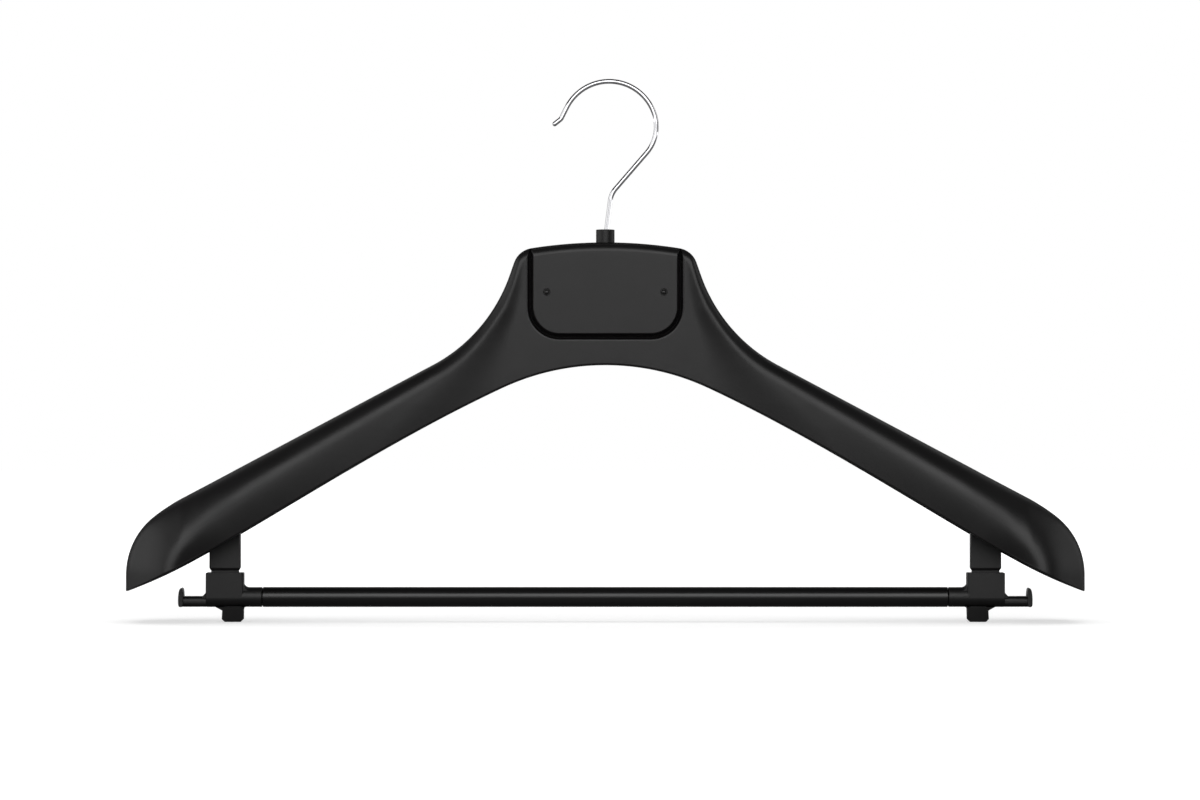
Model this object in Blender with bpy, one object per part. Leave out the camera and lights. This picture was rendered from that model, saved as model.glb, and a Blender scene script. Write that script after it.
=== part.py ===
"""Wide-shoulder suit hanger with a swivelling wire hook and a round trouser bar.

Metres, +Z up, front at -Y. The origin lies on the swivel axis, at the height of the
hook's inner crown, where the hook hangs on a rail. Every moulded piece is laid out
from the top of the yoke, and the bar and its brackets from the bar's own axis.
"""

import math

import bmesh
import bpy
import numpy as np

# Overall size
SHOULDER_SPAN = 0.450
SHOULDER_DEPTH = 0.054
NECK_DEPTH = 0.016
HOOK_RISE = 0.07485

# Fits: gap between pieces that touch, how far a cut runs past a face, and what counts as one point
FIT = 0.0003
OVERRUN = 0.002
MERGE_DISTANCE = 0.000003

# Top edge of the body, seen from the front
YOKE_ARCH_RADIUS = 0.223
YOKE_CORNER_X = 0.0409
YOKE_CORNER_RADIUS = 0.0103
FLANK_ANGLE = 70.8
FLANK_LENGTH = 0.0421
NECK_RADIUS = 0.076
ARM_ANGLE = 28.0
NOSE_BREAK_INSET = 0.014
NOSE_BREAK_RADIUS = 0.073
NOSE_ANGLE = 49.3
NOSE_RADIUS = 0.036
NOSE_HEIGHT = 0.0300

# Lower edge of the body, seen from the front
YOKE_HEIGHT = 0.0577
UNDER_ARCH_RADIUS = 0.115
UNDER_ARCH_ANGLE = 25.0
UNDER_ARM_HANDLE = 0.080
UNDER_TIP_HANDLE = 0.039
UNDER_TIP_ANGLE = 18.5

# Form of the front and back: a rounded roof down to the ridge, then a skirt that draws in.
# An inset is measured from the tip towards the middle.
RIDGE_SETBACK_NECK = 0.005
RIDGE_SETBACK_ARM = 0.0125
RIDGE_SETBACK_NOSE = 0.021
SETBACK_START = 0.060
SETBACK_END_INSET = 0.035
SETBACK_POWER = 1.3
NOSE_TURN_END_INSET = 0.007
FLARE_START = 0.060
FLARE_END_INSET = 0.020
FLARE_POWER = 1.5
SKIRT_DRAW_IN = 0.005
DRAW_IN_START = 0.037
SKIRT_FALL = 0.010

# Section lines of the body: upright in the yoke, square to the arm, fanned at the nose
SECTION_TURN_START = 0.033
SECTION_TURN_END = 0.056
SECTION_FAN_START_INSET = 0.033
SECTION_FAN_END_INSET = 0.003
SECTION_FAN_ANGLE = 66.0
ROOF_SECTION_SHARE = 0.6
SHARE_MARGIN = 1e-6
SECTION_SAMPLES = 61

# Moulded walls
WALL = 0.0025
CROSS_RIB = 0.0018
RIB_RECESS = 0.004
BOSS_WIDTH = 0.013
BOSS_HEIGHT = 0.018
ARM_POCKET_SHARES = (0.0, 0.19, 0.40, 0.59, 1.0)
LAST_POCKET_INSET = 0.0032

# Front panel in its recess, and its two pins
PANEL_HALF_WIDTH = 0.0338
PANEL_HEIGHT = 0.0426
PANEL_CORNER_RADIUS = 0.0124
PANEL_THICKNESS = 0.0016
GROOVE_WIDTH = 0.0032
PANEL_SEAT_WALL = 0.002
PIN_SPACING = 0.055
PIN_DROP = 0.0235
PIN_HEAD_DIAMETER = 0.0024
PIN_HEAD_THICKNESS = 0.0008
PIN_RING_DIAMETER = 0.0033
PIN_RING_DEPTH = 0.0006
PIN_SHANK_DIAMETER = 0.0014
PIN_DOME_SHARES = ((1.0, 0.5), (0.8, 0.75), (0.4, 1.0))

# Hook, bent from round wire
WIRE_DIAMETER = 0.0023
SHANK_BEND_RADIUS = 0.006
SHANK_LEAN = 7.2
NECK_STRAIGHT = 0.0186
REACH_BEND_RADIUS = 0.01066
REACH_TURN = 33.6
REACH_STRAIGHT = 0.02235
CROWN_ENTRY_RADIUS = 0.01874
CROWN_ENTRY_TURN = 55.7
CROWN_RADIUS = 0.02235
CROWN_TURN = 138.6
TAIL_STRAIGHT = 0.0054
LIP_BEND_RADIUS = 0.0026
LIP_TURN = 25.5
LIP_STRAIGHT = 0.0032
WIRE_HEAD_DIAMETER = 0.0046
WIRE_HEAD_THICKNESS = 0.0012
WASHER_DIAMETER = 0.0080
WASHER_THICKNESS = 0.0010

# Collar that guides the wire
COLLAR_DIAMETER = 0.00876
COLLAR_HEIGHT = 0.0061
COLLAR_SEAT_DEPTH = 0.0012
COLLAR_SPIGOT_DIAMETER = 0.0064
COLLAR_MOUTH_DIAMETER = 0.0050
COLLAR_EDGE = 0.0003

# Legs between the arms and the bar
LEG_INSET = 0.0459
LEG_WIDTH = 0.0144
LEG_DEPTH = 0.0070
LEG_TOP_CLEARANCE = 0.0098
LEG_EDGE = 0.0006
LEG_FOOT_CHAMFER = 0.0011
SOCKET_WALL = 0.0022
SOCKET_LIFT = 0.001
TONGUE_WIDTH = 0.0129
TONGUE_DEPTH = 0.0042
TONGUE_LENGTH = 0.0080
NECK_GAP = 0.0012

# Trouser bar
BAR_BELOW_TIP = 0.00288
BAR_DIAMETER = 0.0094
BAR_EDGE = 0.0005
SPIGOT_DIAMETER = 0.0052
SPIGOT_LENGTH = 0.0085

# End brackets, measured from the bar's axis
BLOCK_WIDTH = 0.0176
BLOCK_HEIGHT = 0.0115
BLOCK_CORNER = 0.0008
BLOCK_FILLET = 0.0026
BLOCK_CHAMFER = 0.0017
SLEEVE_LENGTH = 0.0087
SLEEVE_STEP = 0.0001
PEG_REACH = 0.0131
PEG_TOP = 0.0004
PEG_BOTTOM = 0.0046
PEG_DEPTH = 0.0066
LIP_WIDTH = 0.0027
LIP_RISE = 0.0046
LIP_DROP = 0.0051
NUB_WIDTH = 0.0103
NUB_DROP = 0.0117
NUB_DEPTH = 0.0066
NUB_CHAMFER = 0.0014
NUB_WEB = 0.0028
NUB_WEB_HEIGHT = 0.0017
NUB_FLARE = 0.00035

# Outlines in shares of the lip's width and height, from its inner lower corner
LIP_SHARES = (
    (-0.45, 0.57), (-0.12, 0.62), (0.0, 0.72), (0.06, 0.86), (0.18, 0.97), (0.36, 1.0),
    (0.52, 0.95), (0.78, 0.75), (0.94, 0.52), (1.0, 0.30), (0.94, 0.10), (0.68, 0.0),
    (0.10, 0.02), (-0.18, 0.06),
)

# Fineness of the round forms
WIRE_SIDES = 12
WIRE_TIP_ANGLES = (35.0, 65.0)
TURNED_SIDES = 28
ARC_STEP = 7.5
ROOF_STEPS = 5
SKIRT_STEPS = 4
POCKET_ROOF_STEPS = 3
POCKET_SKIRT_STEPS = 2
POCKET_STEP = 0.007
RELIEF_STATIONS = 40
LOWER_EDGE_STEPS = 48
YOKE_STATIONS = 3
TURN_STATIONS = 14
TURN_CROWDING = 1.25
ARM_STATIONS = 13
FAN_STATIONS = 12
SMOOTH_ANGLE = 35.0
PIN_SMOOTH_ANGLE = 50.0

# Finishes
BLACK_PLASTIC = (0.040, 0.038, 0.039)
PANEL_PLASTIC = (0.043, 0.041, 0.042)
COLLAR_PLASTIC = (0.035, 0.034, 0.035)
PIN_PLASTIC = (0.060, 0.060, 0.060)
CHROME = (0.62, 0.62, 0.64)
STEEL = (0.50, 0.50, 0.52)
SATIN_ROUGHNESS = 0.42

HALF_SPAN = SHOULDER_SPAN / 2
SETBACK_END = HALF_SPAN - SETBACK_END_INSET
NOSE_TURN_END = HALF_SPAN - NOSE_TURN_END_INSET
FLARE_END = HALF_SPAN - FLARE_END_INSET
SECTION_FAN_START = HALF_SPAN - SECTION_FAN_START_INSET
SECTION_FAN_END = HALF_SPAN - SECTION_FAN_END_INSET
LEG_OFFSET = HALF_SPAN - LEG_INSET
BAR_LENGTH = 2 * (LEG_OFFSET - BLOCK_WIDTH / 2 - SLEEVE_LENGTH - FIT)
WIRE_RADIUS = WIRE_DIAMETER / 2
BAR_RADIUS = BAR_DIAMETER / 2
RECESS_DEPTH = PANEL_THICKNESS + FIT
YOKE_WALL = RECESS_DEPTH + PANEL_SEAT_WALL
RECESS_HALF_WIDTH = PANEL_HALF_WIDTH + GROOVE_WIDTH
YOKE_POCKET_END = RECESS_HALF_WIDTH + FIT
ARM_POCKET_START = YOKE_POCKET_END + CROSS_RIB


def clear_scene():
    """Start from an empty scene."""
    for item in list(bpy.data.objects):
        bpy.data.objects.remove(item, do_unlink=True)


def direction(angle):
    """Unit vector in the front plane, angle in degrees from +X towards +Z."""
    return np.array((math.cos(math.radians(angle)), math.sin(math.radians(angle))))


def arc(centre, radius, start, end):
    """Points along an arc in the front plane, from one angle to the other."""
    steps = max(2, math.ceil(abs(end - start) / ARC_STEP))
    return [np.asarray(centre) + radius * direction(a) for a in np.linspace(start, end, steps + 1)]


def fillet(before, corner, after, radius):
    """Arc that rounds one corner of an outline."""
    corner = np.asarray(corner, dtype=float)
    incoming = (corner - before) / np.linalg.norm(corner - before)
    outgoing = (after - corner) / np.linalg.norm(after - corner)
    turn = math.atan2(incoming[0] * outgoing[1] - incoming[1] * outgoing[0], incoming @ outgoing)
    first = corner - incoming * radius * math.tan(abs(turn) / 2)
    side = math.copysign(1, turn)
    centre = first + side * radius * np.array((-incoming[1], incoming[0]))
    begin = math.degrees(math.atan2(*(first - centre)[::-1]))
    return arc(centre, radius, begin, begin + math.degrees(turn))


def bezier(start, start_handle, end_handle, end, steps):
    """Points along one cubic curve."""
    t = np.linspace(0, 1, steps + 1)[:, None]
    u = 1 - t
    return list(u**3 * start + 3 * u * u * t * start_handle + 3 * u * t * t * end_handle + t**3 * end)


def neck_line():
    """Corner of the yoke, where the crest turns down, and corner of the neck, where the arm leaves."""
    corner_z = math.sqrt(YOKE_ARCH_RADIUS**2 - YOKE_CORNER_X**2) - YOKE_ARCH_RADIUS
    corner = np.array((YOKE_CORNER_X, corner_z))
    return corner, corner + direction(-FLANK_ANGLE) * FLANK_LENGTH


def arm_drop():
    """How far the line of the arm lies below the yoke's top at the tip."""
    neck_x, neck_z = neck_line()[1]
    return (HALF_SPAN - neck_x) * math.tan(math.radians(ARM_ANGLE)) - neck_z


ARM_END_DROP = arm_drop()
TIP_DROP = ARM_END_DROP + NOSE_HEIGHT
BAR_DROP = TIP_DROP + BAR_BELOW_TIP
LEG_TOP_DROP = ARM_END_DROP - LEG_INSET * math.tan(math.radians(ARM_ANGLE)) + LEG_TOP_CLEARANCE


def top_edge():
    """Crest line of the right half, from the middle of the yoke to the tip."""
    arch_centre = np.array((0.0, -YOKE_ARCH_RADIUS))
    corner, neck = neck_line()
    flank = direction(-FLANK_ANGLE)
    inward = np.array((flank[1], -flank[0]))
    offset = corner + inward * YOKE_CORNER_RADIUS - arch_centre
    inner_radius = YOKE_ARCH_RADIUS - YOKE_CORNER_RADIUS
    along = -(offset @ flank) - math.sqrt((offset @ flank) ** 2 - offset @ offset + inner_radius**2)
    centre = arch_centre + offset + flank * along
    seam = math.degrees(math.atan2(*(centre - arch_centre)[::-1]))
    arm = direction(-ARM_ANGLE)
    arm_end = np.array((HALF_SPAN, -ARM_END_DROP))
    nose_break = arm_end - arm * NOSE_BREAK_INSET / arm[0]
    slope = direction(-NOSE_ANGLE)
    nose = nose_break + slope * NOSE_BREAK_INSET / slope[0]
    tip = np.array((HALF_SPAN, -TIP_DROP))
    points = arc(arch_centre, YOKE_ARCH_RADIUS, 90, seam)
    points += arc(centre, YOKE_CORNER_RADIUS, seam, 90 - FLANK_ANGLE)[1:]
    points += fillet(corner, neck, nose_break, NECK_RADIUS)
    points += fillet(neck, nose_break, nose, NOSE_BREAK_RADIUS)
    points += fillet(nose_break, nose, tip, NOSE_RADIUS)
    return np.array(points + [tip])


def lower_edge():
    """Lower edge of the right half, from the middle of the yoke to the tip."""
    centre = (0.0, -YOKE_HEIGHT - UNDER_ARCH_RADIUS)
    points = arc(centre, UNDER_ARCH_RADIUS, 90, 90 - UNDER_ARCH_ANGLE)
    tip = np.array((HALF_SPAN, -TIP_DROP))
    leave = points[-1] + direction(-UNDER_ARCH_ANGLE) * UNDER_ARM_HANDLE
    arrive = tip - direction(-UNDER_TIP_ANGLE) * UNDER_TIP_HANDLE
    return np.array(points + bezier(points[-1], leave, arrive, tip, LOWER_EDGE_STEPS)[1:])


TOP_EDGE = top_edge()
LOWER_EDGE = lower_edge()


def lower_z(x):
    """Height of the lower edge at a distance from the middle."""
    return float(np.interp(x, LOWER_EDGE[:, 0], LOWER_EDGE[:, 1]))


def distance_to_top(points):
    """Shortest distance from each point to the crest line."""
    start = TOP_EDGE[:-1]
    run = TOP_EDGE[1:] - start
    gap = points[:, None, :] - start[None]
    share = np.clip((gap * run).sum(2) / (run * run).sum(1), 0, 1)
    return np.sqrt(((gap - share[..., None] * run) ** 2).sum(2)).min(1)


def ease(value):
    """Smooth step from 0 to 1."""
    value = min(max(value, 0), 1)
    return value * value * (3 - 2 * value)


def ramp(x, start, end):
    """Share of the way from start to end, held within 0 and 1."""
    return min(max((x - start) / (end - start), 0), 1)


def section_line(x):
    """Foot and head of the section line whose foot is at x on the lower edge."""
    foot = np.array((x, lower_z(x)))
    lean = ARM_ANGLE * ease(ramp(x, SECTION_TURN_START, SECTION_TURN_END))
    lean += (SECTION_FAN_ANGLE - ARM_ANGLE) * ease(ramp(x, SECTION_FAN_START, SECTION_FAN_END))
    ray = direction(90 - lean)
    start = TOP_EDGE[:-1] - foot
    run = TOP_EDGE[1:] - TOP_EDGE[:-1]
    cross = ray[0] * run[:, 1] - ray[1] * run[:, 0]
    reach = (start[:, 0] * run[:, 1] - start[:, 1] * run[:, 0]) / cross
    share = (start[:, 0] * ray[1] - start[:, 1] * ray[0]) / cross
    met = (share > -SHARE_MARGIN) & (share < 1 + SHARE_MARGIN) & (reach > 0)
    return (foot, foot + ray * reach[met].max()) if met.any() else (foot, foot)


def section(x, skin, roof_steps, skirt_steps):
    """Points from head to foot of one section: x, z and half depth, set in by the skin."""
    foot, head = section_line(x)
    flare = ramp(head[0], FLARE_START, FLARE_END)
    half_depth = NECK_DEPTH / 2
    half_depth += (SHOULDER_DEPTH - NECK_DEPTH) / 2 * (flare**FLARE_POWER + ease(flare)) / 2 - skin
    setback = RIDGE_SETBACK_NECK - skin
    reach = ramp(head[0], SETBACK_START, SETBACK_END) ** SETBACK_POWER
    setback += (RIDGE_SETBACK_ARM - RIDGE_SETBACK_NECK) * reach
    setback += (RIDGE_SETBACK_NOSE - RIDGE_SETBACK_ARM) * ease(ramp(head[0], SETBACK_END, NOSE_TURN_END))
    draw_in = SKIRT_DRAW_IN * ramp(head[0], DRAW_IN_START, SETBACK_END)

    share = np.linspace(0, 1, SECTION_SAMPLES)
    depth_in = distance_to_top(head + (foot - head) * share[:, None]) - skin
    crest = float(np.interp(0.0, depth_in, share))
    ridge = float(np.interp(setback, depth_in, share))
    turn = min(ridge, crest + (1 - crest) * ROOF_SECTION_SHARE)
    turn_in = min(float(np.interp(turn, share, depth_in)), setback)
    turn_angle = math.acos(1 - turn_in / setback)
    roof_in = setback * (1 - np.cos(np.linspace(0, turn_angle, roof_steps + 1)))
    roof = np.interp(roof_in, depth_in, share)
    skirt = turn + (1 - turn) * np.linspace(0, 1, skirt_steps + 1)[1:]
    points = []
    for place in np.concatenate((roof, skirt)):
        inward = float(np.interp(place, share, depth_in))
        if inward < setback or ridge == 1:
            depth = half_depth * math.sqrt(max(0.0, 1 - max(1 - max(inward, 0) / setback, 0) ** 2))
        else:
            below = (place - ridge) * np.linalg.norm(foot - head)
            depth = half_depth - draw_in * ease(below / SKIRT_FALL)
        points.append((*(head + (foot - head) * place), depth))
    points[0] = (points[0][0], points[0][1], 0.0)
    length = np.linalg.norm(foot - head)
    return points, (foot - head) / length if length else direction(-90)


def section_loop(x, side, skin=0.0, overrun=0.0):
    """Closed loop round one section, from the front foot over the crest to the back foot."""
    steps = (POCKET_ROOF_STEPS, POCKET_SKIRT_STEPS) if overrun else (ROOF_STEPS, SKIRT_STEPS)
    points, down = section(x, skin, *steps)
    if overrun:
        foot = points[-1]
        points.append((foot[0] + down[0] * overrun, foot[1] + down[1] * overrun, foot[2]))
    front = [(side * px, -depth, pz) for px, pz, depth in points]
    back = [(side * px, depth, pz) for px, pz, depth in points]
    return front[::-1] + back[1:]


def add_object(name, mesh_data, parent, colour=None, roughness=SATIN_ROUGHNESS, metallic=0.0):
    """Link a bmesh as a named object under its parent; without a colour it is a cutter."""
    bmesh.ops.recalc_face_normals(mesh_data, faces=mesh_data.faces)
    mesh = bpy.data.meshes.new(name)
    mesh_data.to_mesh(mesh)
    mesh_data.free()
    item = bpy.data.objects.new(name, mesh)
    bpy.context.scene.collection.objects.link(item)
    item.parent = parent
    if colour is None:
        item.hide_render = True
        item.display_type = "WIRE"
        return item
    material = bpy.data.materials.new(name)
    material.use_nodes = True
    shader = material.node_tree.nodes["Principled BSDF"]
    shader.inputs["Base Color"].default_value = (*colour, 1)
    shader.inputs["Roughness"].default_value = roughness
    shader.inputs["Metallic"].default_value = metallic
    mesh.materials.append(material)
    return item


def smooth(item, angle=SMOOTH_ANGLE):
    """Shade a round piece smooth, with its real edges kept sharp."""
    item.data.shade_smooth()
    item.data.set_sharp_from_angle(angle=math.radians(angle))


def loft(loops, capped=True):
    """Skin through closed loops of equal count; loops that shrink to a point are merged."""
    made = bmesh.new()
    rows = [[made.verts.new(point) for point in loop] for loop in loops]
    for first, second in zip(rows, rows[1:]):
        for here in range(len(first)):
            there = (here + 1) % len(first)
            made.faces.new((first[here], first[there], second[there], second[here]))
    if capped:
        made.faces.new(rows[0])
        made.faces.new(rows[-1])
    bmesh.ops.remove_doubles(made, verts=made.verts, dist=MERGE_DISTANCE)
    bmesh.ops.dissolve_degenerate(made, edges=made.edges, dist=MERGE_DISTANCE)
    return made


def prism(outline, front, back, across=False):
    """Solid with a flat outline, pulled from one plane to the other, along Y or along X."""
    if across:
        return loft([[(place, a, b) for a, b in outline] for place in (front, back)])
    return loft([[(a, place, b) for a, b in outline] for place in (front, back)])


def block(x_from, x_to, half_depth, z_from, z_to):
    """Plain box centred on the middle plane."""
    outline = ((x_from, z_from), (x_to, z_from), (x_to, z_to), (x_from, z_to))
    return prism(outline, -half_depth, half_depth)


def turned(profile, axis="Z"):
    """Solid of revolution from (radius, height) points; its ends lie on the axis or meet."""
    angles = np.linspace(0, 2 * math.pi, TURNED_SIDES, endpoint=False)
    spins = {
        "Z": lambda r, h, a: (r * math.cos(a), r * math.sin(a), h),
        "Y": lambda r, h, a: (r * math.cos(a), -h, r * math.sin(a)),
        "X": lambda r, h, a: (h, r * math.cos(a), r * math.sin(a)),
    }
    place = spins[axis]
    closed = profile[0][0] > 0
    loops = [[place(r, h, a) for a in angles] for r, h in profile]
    return loft(loops + loops[:1] if closed else loops, capped=False)


def cut(item, *cutters, operation="DIFFERENCE", solver="EXACT"):
    """Put one Boolean on an object for each cutter."""
    for cutter in cutters:
        modifier = item.modifiers.new(cutter.name, "BOOLEAN")
        modifier.operation = operation
        modifier.solver = solver
        modifier.object = cutter


def add_empty(name, parent, location):
    """Reference frame that carries pieces."""
    frame = bpy.data.objects.new(name, None)
    bpy.context.scene.collection.objects.link(frame)
    frame.parent = parent
    frame.location = location
    return frame


def hook_path():
    """Centre line of the wire from the collar's top, as a bender makes it, and its rise."""
    bends = (
        (0.0, SHANK_BEND_RADIUS, SHANK_LEAN),
        (NECK_STRAIGHT, REACH_BEND_RADIUS, REACH_TURN),
        (REACH_STRAIGHT, CROWN_ENTRY_RADIUS, -CROWN_ENTRY_TURN),
        (0.0, CROWN_RADIUS, -CROWN_TURN),
        (TAIL_STRAIGHT, LIP_BEND_RADIUS, LIP_TURN),
    )
    place = np.zeros(2)
    heading = 90.0
    path = [(place, heading)]
    for straight, radius, turn in bends:
        if straight:
            place = place + direction(heading) * straight
            path.append((place, heading))
        side = math.copysign(1, turn)
        centre = place + side * radius * direction(heading - 90)
        steps = math.ceil(abs(turn) / ARC_STEP)
        for step in range(1, steps + 1):
            angle = heading - turn * step / steps
            path.append((centre - side * radius * direction(angle - 90), angle))
        place, heading = path[-1]
    path.append((place + direction(heading) * LIP_STRAIGHT, heading))
    return path, max(point[1] for point, _ in path)


def make_hook_wire(parent):
    """Bent wire with an upset head at its lower end and a rounded tip."""
    path, rise = hook_path()
    lift = HOOK_RISE + WIRE_RADIUS - rise
    head_top = -BOSS_HEIGHT - WASHER_THICKNESS - 2 * FIT
    rings = [
        (np.array((0.0, head_top - WIRE_HEAD_THICKNESS)), 90.0, WIRE_HEAD_DIAMETER / 2),
        (np.array((0.0, head_top)), 90.0, WIRE_HEAD_DIAMETER / 2),
        (np.array((0.0, head_top)), 90.0, WIRE_RADIUS),
    ]
    rings += [(point + (0.0, lift), angle, WIRE_RADIUS) for point, angle in path]
    tip, heading, _ = rings[-1]
    for bend in WIRE_TIP_ANGLES:
        forward = WIRE_RADIUS * math.sin(math.radians(bend))
        narrow = WIRE_RADIUS * math.cos(math.radians(bend))
        rings.append((tip + direction(heading) * forward, heading, narrow))
    loops = []
    for centre, angle, radius in rings:
        across = direction(angle - 90)
        loop = []
        for turn in np.linspace(0, 2 * math.pi, WIRE_SIDES, endpoint=False):
            flat = centre + across * radius * math.cos(turn)
            loop.append((flat[0], radius * math.sin(turn), flat[1]))
        loops.append(loop)
    wire = add_object("hook_wire", loft(loops), parent, CHROME, 0.12, 1.0)
    smooth(wire)


def make_hook_washer(parent):
    """Steel washer between the boss and the wire's head."""
    inner = WIRE_RADIUS + FIT
    outer = WASHER_DIAMETER / 2
    top = -BOSS_HEIGHT - FIT
    low = top - WASHER_THICKNESS
    ring = turned([(inner, top), (outer, top), (outer, low), (inner, low)])
    smooth(add_object("hook_washer", ring, parent, STEEL, 0.30, 1.0))


def make_collar(parent):
    """Bushing pressed into the boss, with a flared mouth that clears the leaning wire."""
    bore = WIRE_RADIUS + FIT
    outer = COLLAR_DIAMETER / 2
    spigot = COLLAR_SPIGOT_DIAMETER / 2
    seat = -COLLAR_SEAT_DEPTH + FIT
    end = -BOSS_HEIGHT + FIT
    profile = [
        (bore, end), (bore, seat), (COLLAR_MOUTH_DIAMETER / 2, COLLAR_HEIGHT),
        (outer - COLLAR_EDGE, COLLAR_HEIGHT), (outer, COLLAR_HEIGHT - COLLAR_EDGE),
        (outer, seat), (spigot, seat), (spigot, end),
    ]
    smooth(add_object("hook_collar", turned(profile), parent, COLLAR_PLASTIC, 0.35))


def body_stations():
    """Distances from the middle at which the body's sections are set."""
    yoke = np.linspace(0, SECTION_TURN_START, YOKE_STATIONS, endpoint=False)
    crowded = np.linspace(0, 1, TURN_STATIONS, endpoint=False) ** TURN_CROWDING
    turn = SECTION_TURN_START + (SECTION_TURN_END - SECTION_TURN_START) * crowded
    arm = np.linspace(SECTION_TURN_END, SECTION_FAN_START, ARM_STATIONS, endpoint=False)
    fan_angle = np.linspace(0, 90, FAN_STATIONS)
    fan = SECTION_FAN_START + (HALF_SPAN - SECTION_FAN_START) * np.sin(np.radians(fan_angle))
    return [float(x) for x in np.concatenate((yoke, turn, arm, fan))]


def make_body_form(parent):
    """Outer form of the body as one closed solid, which the recess and the panel share."""
    half = body_stations()
    loops = [section_loop(x, -1) for x in half[:0:-1]] + [section_loop(x, 1) for x in half]
    return add_object("body_form", loft(loops, capped=False), parent)


def pocket(name, start, end, side, skin, parent):
    """Hollow between two cross ribs, open at the lower edge."""
    count = max(2, math.ceil((end - start) / POCKET_STEP))
    loops = [section_loop(x, side, skin, OVERRUN) for x in np.linspace(start, end, count + 1)]
    return add_object(name, loft(loops), parent)


def rib_relief(name, side, parent):
    """Strip along the lower edge that sets the cross ribs back from the rim."""
    loops = []
    for x in np.linspace(BOSS_WIDTH / 2, HALF_SPAN - LAST_POCKET_INSET, RELIEF_STATIONS):
        points, down = section(x, WALL, POCKET_ROOF_STEPS, POCKET_SKIRT_STEPS)
        foot_x, foot_z, depth = points[-1]
        rise = min(RIB_RECESS, (HALF_SPAN - x) / 2)
        high = (foot_x - down[0] * rise, foot_z - down[1] * rise)
        low = (foot_x + down[0] * OVERRUN, foot_z + down[1] * OVERRUN)
        room = min(depth, NECK_DEPTH / 2 - YOKE_WALL) if x < ARM_POCKET_START else depth - FIT
        loops.append([
            (side * high[0], -room, high[1]), (side * low[0], -room, low[1]),
            (side * low[0], room, low[1]), (side * high[0], room, high[1]),
        ])
    return add_object(name, loft(loops), parent)


def panel_outline(half_width, height, radius):
    """Outline with two round lower corners, open to above the yoke's top."""
    top = OVERRUN
    points = [np.array((-half_width, top))]
    points += arc((-half_width + radius, -height + radius), radius, 180, 270)
    points += arc((half_width - radius, -height + radius), radius, 270, 360)
    return points + [np.array((half_width, top))]


def pin_places():
    """Left and right pin, as name and distance from the middle."""
    return (("left", -PIN_SPACING / 2), ("right", PIN_SPACING / 2))


def make_pin_cutter(side_name, x, parent):
    """Stepped hole for one pin through the panel and the wall behind it."""
    face = NECK_DEPTH / 2
    hole = PIN_SHANK_DIAMETER / 2 + FIT
    profile = [
        (0.0, face - YOKE_WALL - OVERRUN), (hole, face - YOKE_WALL - OVERRUN),
        (hole, face - PIN_RING_DEPTH), (PIN_RING_DIAMETER / 2, face - PIN_RING_DEPTH),
        (PIN_RING_DIAMETER / 2, face + OVERRUN), (0.0, face + OVERRUN),
    ]
    cutter = add_object("pin_hole_" + side_name, turned(profile, "Y"), parent)
    cutter.location = (x, 0.0, -PIN_DROP)
    return cutter


def make_pin(side_name, x, parent):
    """Small stud that holds the panel, with a domed head in its ring."""
    face = NECK_DEPTH / 2
    under = face - PIN_RING_DEPTH + FIT
    head = PIN_HEAD_DIAMETER / 2
    shank = PIN_SHANK_DIAMETER / 2
    profile = [
        (0.0, face - YOKE_WALL), (shank, face - YOKE_WALL), (shank, under), (head, under),
        *[(head * out, under + PIN_HEAD_THICKNESS * up) for out, up in PIN_DOME_SHARES],
        (0.0, under + PIN_HEAD_THICKNESS),
    ]
    pin = add_object("panel_pin_" + side_name, turned(profile, "Y"), parent, PIN_PLASTIC, 0.3)
    pin.location = (x, 0.0, -PIN_DROP)
    smooth(pin, PIN_SMOOTH_ANGLE)


def leg_socket(side_name, side, parent):
    """Solid left standing inside the arm to hold a leg, and the pocket cut in it."""
    lift = lower_z(LEG_OFFSET - LEG_WIDTH / 2 - FIT - SOCKET_WALL) + SOCKET_LIFT
    half_width = LEG_WIDTH / 2 + FIT
    half_depth = LEG_DEPTH / 2 + FIT
    centre = side * LEG_OFFSET
    wall = half_width + SOCKET_WALL
    stock = block(centre - wall, centre + wall, half_depth + SOCKET_WALL, lift, 0.0)
    room = block(centre - half_width, centre + half_width, half_depth, -BAR_DROP, -LEG_TOP_DROP + FIT)
    return (
        add_object("socket_stock_" + side_name, stock, parent),
        add_object("socket_room_" + side_name, room, parent),
    )


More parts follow.
